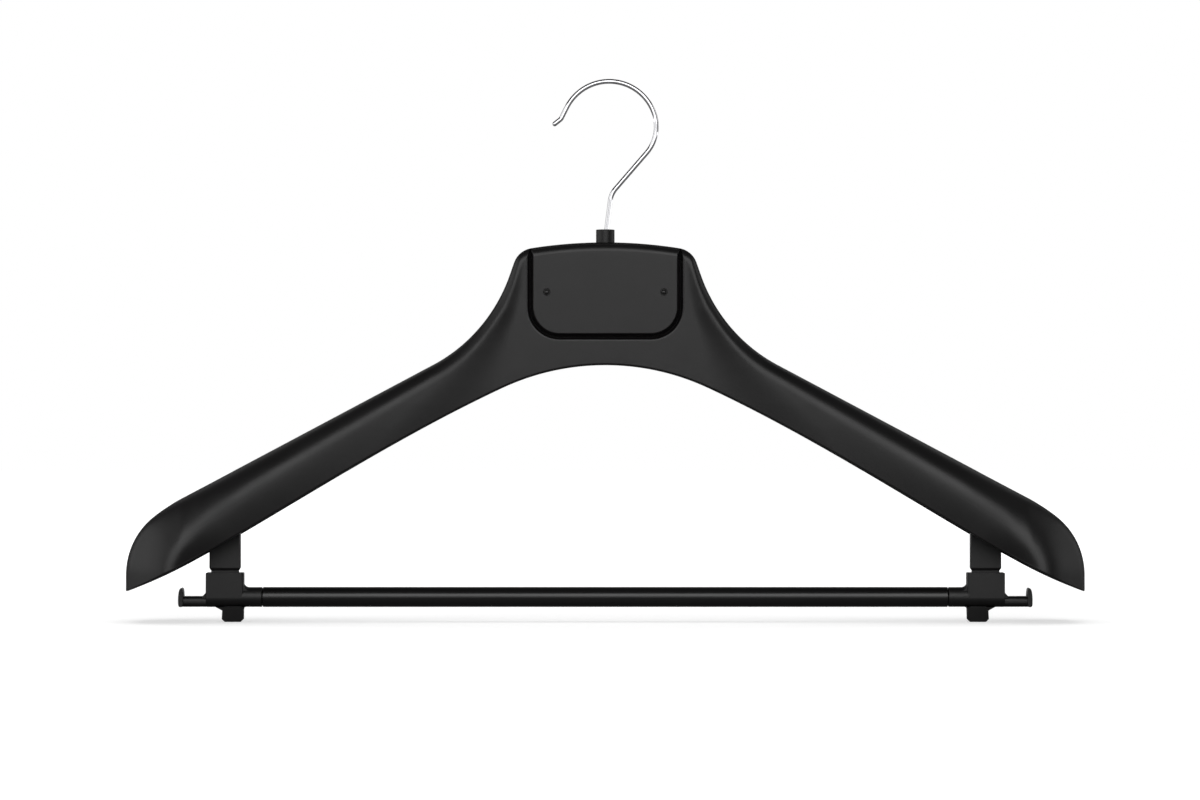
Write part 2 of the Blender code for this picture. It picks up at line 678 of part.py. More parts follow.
def make_body(parent, form, pin_holes):
    """Moulded body: hollow below, with cross ribs, leg sockets, hook boss and panel recess."""
    body = add_object("hanger_body", bmesh.new(), parent, BLACK_PLASTIC)
    body.data = form.data.copy()
    body.data.materials.append(bpy.data.materials["hanger_body"])
    cutters = []
    for side_name, side in (("left", -1), ("right", 1)):
        stock, room = leg_socket(side_name, side, parent)
        cutters.append(
            pocket("yoke_pocket_" + side_name, BOSS_WIDTH / 2, YOKE_POCKET_END, side, YOKE_WALL, parent)
        )
        run = HALF_SPAN - LAST_POCKET_INSET - ARM_POCKET_START
        edges = [ARM_POCKET_START + run * share for share in ARM_POCKET_SHARES]
        for number, (start, end) in enumerate(zip(edges, edges[1:])):
            rib = CROSS_RIB if number else 0.0
            name = f"arm_pocket_{side_name}_{number}"
            hollow = pocket(name, start + rib, end, side, WALL, parent)
            if end == edges[-1]:
                cut(hollow, stock, solver="MANIFOLD")
            cutters.append(hollow)
        cutters += [rib_relief("rib_relief_" + side_name, side, parent), room]
    inner_depth = NECK_DEPTH / 2 - YOKE_WALL
    boss_side = BOSS_WIDTH / 2 + FIT
    under = block(-boss_side, boss_side, inner_depth, -YOKE_HEIGHT - OVERRUN, -BOSS_HEIGHT)
    bore = COLLAR_SPIGOT_DIAMETER / 2 + FIT
    seat = COLLAR_DIAMETER / 2 + FIT
    collar_hole = turned([
        (0.0, -BOSS_HEIGHT - OVERRUN), (bore, -BOSS_HEIGHT - OVERRUN), (bore, -COLLAR_SEAT_DEPTH),
        (seat, -COLLAR_SEAT_DEPTH), (seat, OVERRUN), (0.0, OVERRUN),
    ])
    outline = panel_outline(
        RECESS_HALF_WIDTH, PANEL_HEIGHT + GROOVE_WIDTH, PANEL_CORNER_RADIUS + GROOVE_WIDTH
    )
    recess = prism(outline, -NECK_DEPTH / 2 - OVERRUN, -NECK_DEPTH / 2 + RECESS_DEPTH)
    cutters += [
        add_object("under_boss", under, parent),
        add_object("collar_hole", collar_hole, parent),
        add_object("panel_recess", recess, parent),
        *pin_holes,
    ]
    cut(body, *cutters, solver="MANIFOLD")


def make_panel(parent, form, pin_holes):
    """Plate in the recess, whose face and rounded top continue the body's own form."""
    outline = panel_outline(PANEL_HALF_WIDTH, PANEL_HEIGHT, PANEL_CORNER_RADIUS)
    back = -NECK_DEPTH / 2 + PANEL_THICKNESS
    plate = prism(outline, -NECK_DEPTH / 2 - OVERRUN, back)
    panel = add_object("front_panel", plate, parent, PANEL_PLASTIC)
    cut(panel, form, operation="INTERSECT")
    cut(panel, *pin_holes)


def rectangle(centre, width, depth, z):
    """Level rectangle round a point of the middle plane."""
    return [
        (centre + sx * width / 2, sy * depth / 2, z)
        for sx, sy in ((-1, -1), (1, -1), (1, 1), (-1, 1))
    ]


def make_leg(side_name, side, parent):
    """Rectangular post in the arm's socket, with a tongue below that the bracket takes."""
    centre = side * LEG_OFFSET
    foot = -BAR_DROP + BLOCK_HEIGHT + NECK_GAP
    loops = [
        rectangle(centre, LEG_WIDTH - 2 * LEG_EDGE, LEG_DEPTH - 2 * LEG_EDGE, -LEG_TOP_DROP),
        rectangle(centre, LEG_WIDTH, LEG_DEPTH, -LEG_TOP_DROP - LEG_EDGE),
        rectangle(centre, LEG_WIDTH, LEG_DEPTH, foot + LEG_FOOT_CHAMFER),
        rectangle(centre, LEG_WIDTH - 2 * LEG_EDGE, LEG_DEPTH - 2 * LEG_EDGE, foot),
        rectangle(centre, TONGUE_WIDTH, TONGUE_DEPTH, foot),
        rectangle(centre, TONGUE_WIDTH, TONGUE_DEPTH, foot - TONGUE_LENGTH),
    ]
    add_object("leg_" + side_name, loft(loops), parent, BLACK_PLASTIC)


def bracket_outlines():
    """Front outlines of the right bracket: its block, its strap peg and its nub."""
    inner = LEG_OFFSET - BLOCK_WIDTH / 2
    outer = LEG_OFFSET + BLOCK_WIDTH / 2
    lip_inner = outer + PEG_REACH - LIP_WIDTH
    rest = BAR_RADIUS - SLEEVE_STEP - FIT
    trunk = arc((inner - BLOCK_FILLET, rest + BLOCK_FILLET), BLOCK_FILLET, 270, 360)
    trunk += arc((inner + BLOCK_CORNER, BLOCK_HEIGHT - BLOCK_CORNER), BLOCK_CORNER, 180, 90)
    trunk += arc((outer - BLOCK_CORNER, BLOCK_HEIGHT - BLOCK_CORNER), BLOCK_CORNER, 90, 0)
    trunk += [np.array((outer, PEG_TOP + BLOCK_CHAMFER))]
    trunk += [np.array((outer + BLOCK_CHAMFER + FIT, PEG_TOP - FIT))]
    trunk += [np.array((outer, PEG_TOP - PEG_BOTTOM))]
    trunk += [np.array((outer, -BAR_RADIUS - OVERRUN)), np.array((inner, -BAR_RADIUS - OVERRUN))]
    trunk += [np.array((inner, 0.0))]

    peg = [np.array((outer - OVERRUN, -PEG_BOTTOM)), np.array((outer - OVERRUN, PEG_TOP))]
    height = LIP_RISE + LIP_DROP
    peg += [np.array((lip_inner + a * LIP_WIDTH, b * height - LIP_DROP)) for a, b in LIP_SHARES]
    peg[2][1] = PEG_TOP
    peg[-1][1] = -PEG_BOTTOM

    edge = inner + NUB_WIDTH
    web = -BAR_RADIUS + SLEEVE_STEP
    side = inner + SLEEVE_STEP
    nub = [
        (side, 0.0), (side, -NUB_DROP + NUB_CHAMFER), (side + NUB_CHAMFER, -NUB_DROP),
        (edge - NUB_CHAMFER, -NUB_DROP), (edge, -NUB_DROP + NUB_CHAMFER),
        (edge - NUB_FLARE, web - NUB_WEB_HEIGHT), (edge + NUB_WEB, web), (edge + NUB_WEB, 0.0),
    ]
    return trunk, peg, nub


def mirrored(outline, side):
    """Outline on the right side, or turned over for the left."""
    return [(side * point[0], point[1]) for point in outline]


def make_bracket(side_name, side, parent):
    """End bracket: block for the leg, sleeve for the bar, strap peg with its lip, and nub."""
    trunk, peg, nub = bracket_outlines()
    bracket = add_object(
        "bracket_" + side_name, prism(mirrored(trunk, side), -BAR_DIAMETER, BAR_DIAMETER), parent,
        BLACK_PLASTIC,
    )
    inner = LEG_OFFSET - BLOCK_WIDTH / 2
    outer = LEG_OFFSET + BLOCK_WIDTH / 2
    rounded = arc((0.0, 0.0), BAR_RADIUS, 180, 360)
    rounded = [np.array((-BAR_RADIUS, BLOCK_HEIGHT + OVERRUN))] + rounded
    rounded += [np.array((BAR_RADIUS, BLOCK_HEIGHT + OVERRUN))]
    start = side * (inner - BLOCK_FILLET - OVERRUN)
    end = side * (outer + BLOCK_CHAMFER + OVERRUN)
    envelope = add_object("bracket_form_" + side_name, prism(rounded, start, end, across=True), parent)
    cut(bracket, envelope, operation="INTERSECT", solver="MANIFOLD")

    sleeve_end = BAR_LENGTH / 2 + FIT
    radius = BAR_RADIUS - SLEEVE_STEP
    sleeve_profile = [(0.0, sleeve_end), (radius - BAR_EDGE, sleeve_end), (radius, sleeve_end + BAR_EDGE)]
    sleeve_profile += [(radius, inner + OVERRUN), (0.0, inner + OVERRUN)]
    sleeve = turned([(r, side * h) for r, h in sleeve_profile], "X")
    added = [
        add_object("sleeve_" + side_name, sleeve, parent),
        add_object("peg_" + side_name, prism(mirrored(peg, side), -PEG_DEPTH / 2, PEG_DEPTH / 2), parent),
        add_object("nub_" + side_name, prism(mirrored(nub, side), -NUB_DEPTH / 2, NUB_DEPTH / 2), parent),
    ]
    cut(bracket, *added, operation="UNION", solver="MANIFOLD")

    room = SPIGOT_DIAMETER / 2 + FIT
    far = sleeve_end + SPIGOT_LENGTH
    near = sleeve_end - OVERRUN
    bore = turned([(r, side * h) for r, h in ((0.0, near), (room, near), (room, far), (0.0, far))], "X")
    floor = BLOCK_HEIGHT + NECK_GAP - TONGUE_LENGTH - FIT
    slot_half = TONGUE_WIDTH / 2 + FIT
    centre = side * LEG_OFFSET
    slot_depth = TONGUE_DEPTH / 2 + FIT
    slot = block(centre - slot_half, centre + slot_half, slot_depth, floor, BLOCK_HEIGHT + OVERRUN)
    cut(
        bracket,
        add_object("bar_bore_" + side_name, bore, parent),
        add_object("tongue_slot_" + side_name, slot, parent),
        solver="MANIFOLD",
    )


def make_bar(parent):
    """Round bar with a thinner spigot at each end."""
    half = BAR_LENGTH / 2
    spigot = SPIGOT_DIAMETER / 2
    end = half + SPIGOT_LENGTH - FIT
    right = [
        (BAR_RADIUS, half - BAR_EDGE), (BAR_RADIUS - BAR_EDGE, half), (spigot, half),
        (spigot, end - BAR_EDGE), (spigot - BAR_EDGE, end), (0.0, end),
    ]
    profile = [(r, -h) for r, h in reversed(right)] + right
    smooth(add_object("trouser_bar", turned(profile, "X"), parent, BLACK_PLASTIC, 0.36))


def main():
    clear_scene()
    swivel = add_empty("swivel_axis", None, (0.0, 0.0, -HOOK_RISE))
    bar_axis = add_empty("bar_axis", swivel, (0.0, 0.0, -BAR_DROP))
    form = make_body_form(swivel)
    pin_holes = [make_pin_cutter(name, x, swivel) for name, x in pin_places()]
    make_hook_wire(swivel)
    make_hook_washer(swivel)
    make_collar(swivel)
    make_body(swivel, form, pin_holes)
    make_panel(swivel, form, pin_holes)
    for name, x in pin_places():
        make_pin(name, x, swivel)
    for side_name, side in (("left", -1), ("right", 1)):
        make_leg(side_name, side, swivel)
        make_bracket(side_name, side, bar_axis)
    make_bar(bar_axis)


main()
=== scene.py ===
# %% [markdown]
# # A moulded suit hanger
#
# This notebook dresses the engineering model of a black plastic suit hanger. The model fixes
# where every piece is and what moves. Here each piece gets the surface that the eye sees:
# rounded edges, a deep groove round the front panel, satin plastic and a bright bent wire.

# %% Load the frame
import math

import bmesh
import bpy
import numpy as np
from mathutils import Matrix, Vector


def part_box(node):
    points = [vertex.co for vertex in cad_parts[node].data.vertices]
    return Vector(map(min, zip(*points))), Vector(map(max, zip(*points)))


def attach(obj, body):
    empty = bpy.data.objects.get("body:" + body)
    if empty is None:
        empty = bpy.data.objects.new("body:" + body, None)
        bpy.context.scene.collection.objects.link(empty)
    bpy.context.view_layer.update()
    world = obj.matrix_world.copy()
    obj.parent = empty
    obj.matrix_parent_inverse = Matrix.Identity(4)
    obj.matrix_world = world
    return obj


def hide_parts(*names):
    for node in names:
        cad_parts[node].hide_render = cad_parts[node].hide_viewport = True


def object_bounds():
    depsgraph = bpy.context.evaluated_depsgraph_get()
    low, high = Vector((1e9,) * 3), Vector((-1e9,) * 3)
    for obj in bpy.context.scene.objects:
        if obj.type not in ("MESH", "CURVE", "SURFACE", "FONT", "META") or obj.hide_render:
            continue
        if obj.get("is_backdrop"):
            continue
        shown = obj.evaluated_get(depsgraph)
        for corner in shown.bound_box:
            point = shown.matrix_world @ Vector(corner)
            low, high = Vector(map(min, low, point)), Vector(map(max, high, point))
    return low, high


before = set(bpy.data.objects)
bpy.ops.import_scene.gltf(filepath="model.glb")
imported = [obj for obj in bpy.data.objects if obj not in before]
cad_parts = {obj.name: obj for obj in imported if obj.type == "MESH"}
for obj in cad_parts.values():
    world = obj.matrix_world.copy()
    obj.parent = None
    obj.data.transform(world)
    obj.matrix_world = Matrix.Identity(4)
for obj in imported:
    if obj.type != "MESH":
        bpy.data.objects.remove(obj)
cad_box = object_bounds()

print("nodes:", sorted(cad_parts))

# %% [markdown]
# ## Sizes
#
# A dressed piece has to sit exactly where the model's solid sits, so its main sizes are read
# from the solids' boxes. Only what a box can't tell, such as a corner radius, is typed here,
# beside the piece that it belongs to.

# %% Read the main sizes
body_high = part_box("hanger_body")[1]
panel_low, panel_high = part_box("front_panel")
collar_low, collar_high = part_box("hook_collar")
bar_low, bar_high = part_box("trouser_bar")
leg_low, leg_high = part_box("leg_right")
bracket_low, bracket_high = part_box("bracket_right")
wire_low, wire_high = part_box("hook_wire")
washer_low, washer_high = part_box("hook_washer")
pin_low, pin_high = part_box("panel_pin_right")

collar_height = 0.0061
half_span = body_high.x
yoke_top = collar_high.z - collar_height
shoulder_half_depth = body_high.y
neck_half_depth = -panel_low.y
bar_axis = (bar_low.z + bar_high.z) / 2
bar_radius = (bar_high.z - bar_low.z) / 2
leg_x = (leg_low.x + leg_high.x) / 2
fit = 0.0003
merge_distance = 0.000002
print(f"span {2 * half_span * 1000:.1f} mm, yoke top at {yoke_top * 1000:.2f} mm")

# %% [markdown]
# ## Tools for the bench
#
# Every operator in Blender works on what is selected, so a few small helpers choose an
# object, or the faces and edges of it that a test picks by their place, before each step.

# %% Selection helpers
def pick_nothing():
    """Leave edit mode and select nothing, before a primitive is added."""
    if bpy.context.object and bpy.context.object.mode == "EDIT":
        bpy.ops.object.mode_set(mode="OBJECT")
    bpy.ops.object.select_all(action="DESELECT")


def pick(item):
    """Select only this object and make it the active one."""
    pick_nothing()
    item.select_set(True)
    bpy.context.view_layer.objects.active = item


def edit(item):
    """Open one object in edit mode."""
    pick(item)
    bpy.ops.object.mode_set(mode="EDIT")


def choose(kind, test):
    """In edit mode, select only the faces, edges or points that pass a test."""
    bpy.ops.mesh.select_mode(type={"faces": "FACE", "edges": "EDGE", "verts": "VERT"}[kind])
    bpy.ops.mesh.select_all(action="DESELECT")
    shape = bmesh.from_edit_mesh(bpy.context.object.data)
    count = 0
    for element in getattr(shape, kind):
        if test(element):
            element.select_set(True)
            count += 1
    shape.select_flush_mode()
    bmesh.update_edit_mesh(bpy.context.object.data)
    return count


def near(a, b, margin=0.00002):
    """Whether two lengths are the same on the bench."""
    return abs(a - b) < margin


def ends(edge, axis):
    """Places of both ends of an edge along one axis."""
    return edge.verts[0].co[axis], edge.verts[1].co[axis]


def sharp(edge, degrees=30):
    """Whether two faces meet at an angle on this edge."""
    return len(edge.link_faces) == 2 and edge.calc_face_angle() > math.radians(degrees)


def round_edges(test, radius, steps, **settings):
    """In edit mode, bevel the edges that pass a test."""
    count = choose("edges", test)
    bpy.ops.mesh.bevel(offset=radius, segments=steps, affect="EDGES", **settings)
    return count


# %% Object helpers
def added(name):
    """Name the object that an operator has just added."""
    item = bpy.context.object
    item.name = name
    item.data.name = name
    return item


def settle(item):
    """Apply place, turn and size, merge double points and point all faces outwards."""
    pick(item)
    bpy.ops.object.transform_apply(location=True, rotation=True, scale=True)
    bpy.ops.object.mode_set(mode="EDIT")
    bpy.ops.mesh.select_all(action="SELECT")
    bpy.ops.mesh.remove_doubles(threshold=merge_distance)
    bpy.ops.mesh.select_all(action="SELECT")
    bpy.ops.mesh.normals_make_consistent(inside=False)
    bpy.ops.object.mode_set(mode="OBJECT")
    return item


def box(name, low, high):
    """Cube primitive at its size and place, between two corners."""
    low, high = Vector(low), Vector(high)
    pick_nothing()
    bpy.ops.mesh.primitive_cube_add(size=1, location=(low + high) / 2)
    item = added(name)
    item.scale = high - low
    return settle(item)


def modify(item, kind, **settings):
    """Add one modifier and apply it at once."""
    pick(item)
    bpy.ops.object.modifier_add(type=kind)
    modifier = item.modifiers[-1]
    for key, value in settings.items():
        setattr(modifier, key, value)
    bpy.ops.object.modifier_apply(modifier=modifier.name)


def carve(item, cutter, operation="DIFFERENCE"):
    """Cut, join or trim one closed shape with another, which is used up."""
    modify(item, "BOOLEAN", operation=operation, object=cutter, solver="MANIFOLD")
    bpy.data.objects.remove(cutter, do_unlink=True)


def shade(item, angle=30, weight=50):
    """Smooth shading that leaves real edges crisp; a higher weight keeps flat faces flatter."""
    pick(item)
    bpy.ops.object.shade_smooth_by_angle(angle=math.radians(angle))
    modify(item, "WEIGHTED_NORMAL", keep_sharp=True, weight=weight)
    print(f"{item.name}: {len(item.data.polygons)} faces, shaded by angle {angle}")


def join_flats(item, flat_angle=0.5):
    """Make one face again of each flat side that the cuts have split."""
    edit(item)
    bpy.ops.mesh.select_all(action="SELECT")
    bpy.ops.mesh.dissolve_limited(angle_limit=math.radians(flat_angle))
    bpy.ops.object.mode_set(mode="OBJECT")


def mirror_copy(item, name):
    """Copy of a piece for the other side, with a mesh of its own."""
    pick(item)
    bpy.ops.object.duplicate()
    copy = added(name)
    copy.scale = (-1, 1, 1)
    return settle(copy)


def dress(item, body, nodes, finish):
    """Give a finished piece its finish, its body and the solids that it stands for."""
    item.data.materials.clear()
    item.data.materials.append(finish)
    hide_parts(*nodes)
    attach(item, body)
    print(f"{item.name}: {len(item.data.polygons)} faces, rides on {body}")


# %% [markdown]
# ## Turned shapes
#
# The collar, the washer, the studs, the sleeves and the bar are all round about one line.
# They could be drawn as a profile and spun, but on the bench it is simpler to start with a
# circle and to extrude its edge from one step of the profile to the next, and to resize it.

# %% Turning helper
def turned(name, profile, axis="Z", centre=(0, 0, 0), sides=64):
    """Piece turned from (radius, height) steps; it is a tube if it ends where it started."""
    tube = profile[0] == profile[-1]
    pick_nothing()
    radius, height = profile[0]
    bpy.ops.mesh.primitive_circle_add(vertices=sides, radius=radius, location=(0, 0, 0))
    item = added(name)
    edit(item)
    bpy.ops.transform.translate(value=(0, 0, height))
    for new_radius, new_height in profile[1:]:
        bpy.ops.mesh.extrude_edges_move(TRANSFORM_OT_translate={"value": (0, 0, new_height - height)})
        scale = new_radius / radius
        centre_now = (0, 0, new_height)
        bpy.ops.transform.resize(value=(scale, scale, 1), center_override=centre_now)
        radius, height = new_radius, new_height
    bpy.ops.mesh.select_all(action="SELECT")
    if tube:
        bpy.ops.mesh.remove_doubles(threshold=merge_distance)
    else:
        bpy.ops.mesh.fill_holes(sides=0)
    bpy.ops.object.mode_set(mode="OBJECT")
    item.rotation_euler = {"X": (0, math.pi / 2, 0), "Y": (math.pi / 2, 0, 0), "Z": (0, 0, 0)}[axis]
    item.location = centre
    return settle(item)


def rounded(corner, radius, side, steps=5):
    """Steps of a rounded rim for a turned profile, at its upper (1) or lower (-1) corner."""
    r, h = corner
    turns = side * np.radians(np.linspace(0, 90, steps + 1))
    return [(r - radius + radius * math.cos(a), h - side * radius + radius * math.sin(a)) for a in turns]


# %% [markdown]
# ## The line of the shoulders
#
# From the front the body has two outlines. The crest runs from the flat arch of the yoke over
# a small corner, down a steep flank and out along a straight arm to the rounded nose. The
# lower edge is a shallow arch and one long curve. Straight runs and arcs draw the crest as
# the toolmaker would, and a cubic curve draws the lower edge.

# %% Outline helpers
def heading(angle):
    """Unit vector in the front plane, in degrees from +X towards +Z."""
    return np.array((math.cos(math.radians(angle)), math.sin(math.radians(angle))))


def arc(centre, radius, start, end, step=1.5):
    """Points along an arc, from one angle to the other."""
    count = max(2, math.ceil(abs(end - start) / step))
    return [np.asarray(centre) + radius * heading(a) for a in np.linspace(start, end, count + 1)]


def fillet(before, corner, after, radius, step=1.5):
    """Arc that rounds one corner of an outline."""
    corner = np.asarray(corner, dtype=float)
    incoming = (corner - before) / np.linalg.norm(corner - before)
    outgoing = (after - corner) / np.linalg.norm(after - corner)
    turn = math.atan2(incoming[0] * outgoing[1] - incoming[1] * outgoing[0], incoming @ outgoing)
    first = corner - incoming * radius * math.tan(abs(turn) / 2)
    side = math.copysign(1, turn)
    centre = first + side * radius * np.array((-incoming[1], incoming[0]))
    begin = math.degrees(math.atan2(*(first - centre)[::-1]))
    return arc(centre, radius, begin, begin + math.degrees(turn), step)


# %% Crest and lower edge of the right half
yoke_arch_radius = 0.223
yoke_corner_x = 0.0409
yoke_corner_radius = 0.0103
flank_angle = 70.8
flank_length = 0.0421
neck_radius = 0.076
arm_angle = 28.0
nose_break_inset = 0.01929
nose_break_radius = 0.085
nose_angle = 38.8
nose_height = 0.030
yoke_height = 0.0577
under_arch_radius = 0.115
under_arch_angle = 25.0
under_arm_handle = 0.080
under_tip_handle = 0.039
under_tip_angle = 18.5

corner_z = math.sqrt(yoke_arch_radius**2 - yoke_corner_x**2) - yoke_arch_radius
yoke_corner = np.array((yoke_corner_x, corner_z))
neck_corner = yoke_corner + heading(-flank_angle) * flank_length
arm_end_drop = (half_span - neck_corner[0]) * math.tan(math.radians(arm_angle)) - neck_corner[1]
tip_drop = arm_end_drop + nose_height
nose_run = nose_break_inset / math.cos(math.radians(nose_angle))
nose_run -= nose_break_radius * math.tan(math.radians(nose_angle - arm_angle) / 2)
nose_radius = 0.999 * nose_run / math.tan(math.radians(90 - nose_angle) / 2)


def crest_line():
    """Crest of the right half, from the middle of the yoke to the tip, below the yoke's top."""
    arch_centre = np.array((0.0, -yoke_arch_radius))
    flank = heading(-flank_angle)
    inward = np.array((flank[1], -flank[0]))
    offset = yoke_corner + inward * yoke_corner_radius - arch_centre
    reach = yoke_arch_radius - yoke_corner_radius
    along = -(offset @ flank) - math.sqrt((offset @ flank) ** 2 - offset @ offset + reach**2)
    centre = arch_centre + offset + flank * along
    seam = math.degrees(math.atan2(*(centre - arch_centre)[::-1]))
    arm = heading(-arm_angle)
    arm_end = np.array((half_span, -arm_end_drop))
    nose_break = arm_end - arm * nose_break_inset / arm[0]
    slope = heading(-nose_angle)
    nose = nose_break + slope * nose_break_inset / slope[0]
    tip = np.array((half_span, -tip_drop))
    points = arc(arch_centre, yoke_arch_radius, 90, seam, 0.5)
    points += arc(centre, yoke_corner_radius, seam, 90 - flank_angle)[1:]
    points += fillet(yoke_corner, neck_corner, nose_break, neck_radius)
    points += fillet(neck_corner, nose_break, nose, nose_break_radius)
    points += fillet(nose_break, nose, tip, nose_radius)
    return np.array(points + [tip])


def under_line():
    """Lower edge of the right half, from the middle to the tip."""
    points = arc((0.0, -yoke_height - under_arch_radius), under_arch_radius, 90, 90 - under_arch_angle)
    tip = np.array((half_span, -tip_drop))
    start = points[-1]
    leave = start + heading(-under_arch_angle) * under_arm_handle
    arrive = tip - heading(-under_tip_angle) * under_tip_handle
    t = np.linspace(0, 1, 161)[1:, None]
    u = 1 - t
    curve = u**3 * start + 3 * u * u * t * leave + 3 * u * t * t * arrive + t**3 * tip
    return np.array(points + list(curve))


crest = crest_line()
under = under_line()
crest_run = np.concatenate(([0], np.cumsum(np.linalg.norm(np.diff(crest, axis=0), axis=1))))
print(f"crest {len(crest)} points, lower edge {len(under)} points, tip {tip_drop * 1000:.1f} mm down")

# %% [markdown]
# ## The form of the shoulders
#
# Cut the hanger across anywhere and the section has the same parts: a rounded roof from the
# crest down to a ridge, and below the ridge a skirt that falls back. In the yoke the roof is
# a small round edge and the face is flat. Towards the nose the roof grows wide and the skirt
# tucks in sharply behind the ridge. The numbers below say how these sizes run along the arm.
#
# No hand operator gives such a form, so a grid primitive is laid on it by formula: each
# column of the grid is one section, and each row keeps its place in every section.

# %% How the section changes along the arm
def ease(value):
    """Smooth step from 0 to 1."""
    value = min(max(value, 0), 1)
    return value * value * (3 - 2 * value)


def ramp(x, start, end):
    """Share of the way from start to end, held within 0 and 1."""
    return min(max((x - start) / (end - start), 0), 1)


flat_face_end = 0.0405
neck_end = 0.050
arm_start = 0.055
nose_start = half_span - 0.035
nose_end = half_span - 0.007
roof_yoke = 0.0043
roof_neck = 0.0063
roof_arm = 0.0165
roof_nose = 0.0228
roof_growth = 0.95
# Each row of the swell: drop below the yoke's top, place, half width and rise.
swell_table = np.array((
    (0.0092, 0.0396, 0.0020, 0.0008),
    (0.0200, 0.0413, 0.0030, 0.0014),
    (0.0318, 0.0449, 0.0042, 0.0019),
    (0.0412, 0.0496, 0.0058, 0.0022),
    (0.0503, 0.0543, 0.0085, 0.0025),
    (0.0591, 0.0590, 0.0120, 0.0027),
    (0.0671, 0.0638, 0.0160, 0.0029),
    (0.0760, 0.0695, 0.0200, 0.0031),
    (0.0870, 0.0765, 0.0240, 0.0032),
    (0.1000, 0.0840, 0.0270, 0.0032),
))
flare_start = 0.068
flare_soft = 0.014
flare_stop = 0.198
flare_slope = 0.067
flare_bend = 0.43
bulge_start = 0.192
bulge_end = 0.214
nose_lean = 0.08
nose_reach = 0.0017
nose_lean_start = 0.165
nose_lean_end = 0.203


def half_depth_at(x, drop):
    """Half the hanger's depth at a place: the flat yoke, the swell into the arm and the flare."""
    place, width, rise = (np.interp(-drop, swell_table[:, 0], column) for column in swell_table[:, 1:].T)
    swell = rise * ease(ramp(x, place - width, place + width))
    along = max(0.0, min(x, flare_stop) - flare_start)
    soft = along**2 / (2 * flare_soft) if along < flare_soft else along - flare_soft / 2
    flare = flare_slope * soft + flare_bend * soft**2
    most = shoulder_half_depth + nose_reach
    room = most - neck_half_depth - swell - flare
    flare += room * ease(ramp(x, bulge_start, bulge_end))
    lean = nose_lean * max(drop + tip_drop, 0.0) * ease(ramp(x, nose_lean_start, nose_lean_end))
    return min(neck_half_depth + swell + flare, most) - lean


def roof_height_at(x):
    """How far below the crest the ridge lies."""
    height = roof_yoke + (roof_neck - roof_yoke) * ease(ramp(x, flat_face_end, neck_end))
    height += (roof_arm - roof_neck) * ramp(x, arm_start, nose_start) ** roof_growth
    return height + (roof_nose - roof_arm) * ease(ramp(x, nose_start, nose_end))


face_start = half_span - 0.042
face_full = half_span - 0.0035
fall_start = 0.060
fall_full = 0.181
fall_arm = 0.17
fall_growth = 1.6
tuck_start = 0.180
tuck_full = 0.202
tuck_fall = 0.44


def nose_at(head):
    """How far the rounded roof has turned into the flat face of the nose."""
    run = np.interp(-head[1], -crest[:, 1], crest_run)
    return ease(ramp(run, *np.interp((face_start, face_full), crest[:, 0], crest_run)))


def fall_at(x):
    """How steeply the skirt falls back below the ridge."""
    fall = fall_arm * ramp(x, fall_start, fall_full) ** fall_growth
    return fall + tuck_fall * ease(ramp(x, tuck_start, tuck_full))


# %% Section lines: upright in the yoke, square to the arm, fanned at the nose
turn_start = 0.0405
turn_end = 0.062
fan_start = half_span - 0.033
fan_end = half_span - 0.003
fan_angle = 66.0
tiny = 1e-6


def distance_to_crest(points):
    """Shortest distance from each point to the crest."""
    start = crest[:-1]
    run = crest[1:] - start
    gap = points[:, None, :] - start[None]
    share = np.clip((gap * run).sum(2) / (run * run).sum(1), 0, 1)
    return np.sqrt(((gap - share[..., None] * run) ** 2).sum(2)).min(1)


def section_ends(x):
    """Foot on the lower edge, and head on the crest, of one section line."""
    foot = np.array((x, np.interp(x, under[:, 0], under[:, 1])))
    lean = arm_angle * ease(ramp(x, turn_start, turn_end))
    lean += (fan_angle - arm_angle) * ease(ramp(x, fan_start, fan_end))
    ray = heading(90 - lean)
    start = crest[:-1] - foot
    run = crest[1:] - crest[:-1]
    cross = ray[0] * run[:, 1] - ray[1] * run[:, 0]
    cross = np.where(np.abs(cross) < tiny**2, tiny**2, cross)
    reach = (start[:, 0] * run[:, 1] - start[:, 1] * run[:, 0]) / cross
    share = (start[:, 0] * ray[1] - start[:, 1] * ray[0]) / cross
    met = (share > -tiny) & (share < 1 + tiny) & (reach > 0)
    return (foot, foot + ray * reach[met].max()) if met.any() else (foot, foot)


# %% One section, from the front foot over the crest to the back foot
roof_rows = 26
skirt_rows = 18
skirt_growth = 1.35
rim_rows = 8
rim_radius = 0.0010
rim_share = 0.25
rim_depth_share = 0.8
least_round = 0.0005
even_share = 0.15
longest_roof = 0.6
depth_start = 0.038
depth_full = 0.080
bow_start = 0.041
bow_full = 0.055
plain_bow = 2
more_bow = 0.4
face_round = 0.42
nose_top = 0.0105
nose_edge = 0.0032
fall_round = 0.0040
nose_round = 0.0028


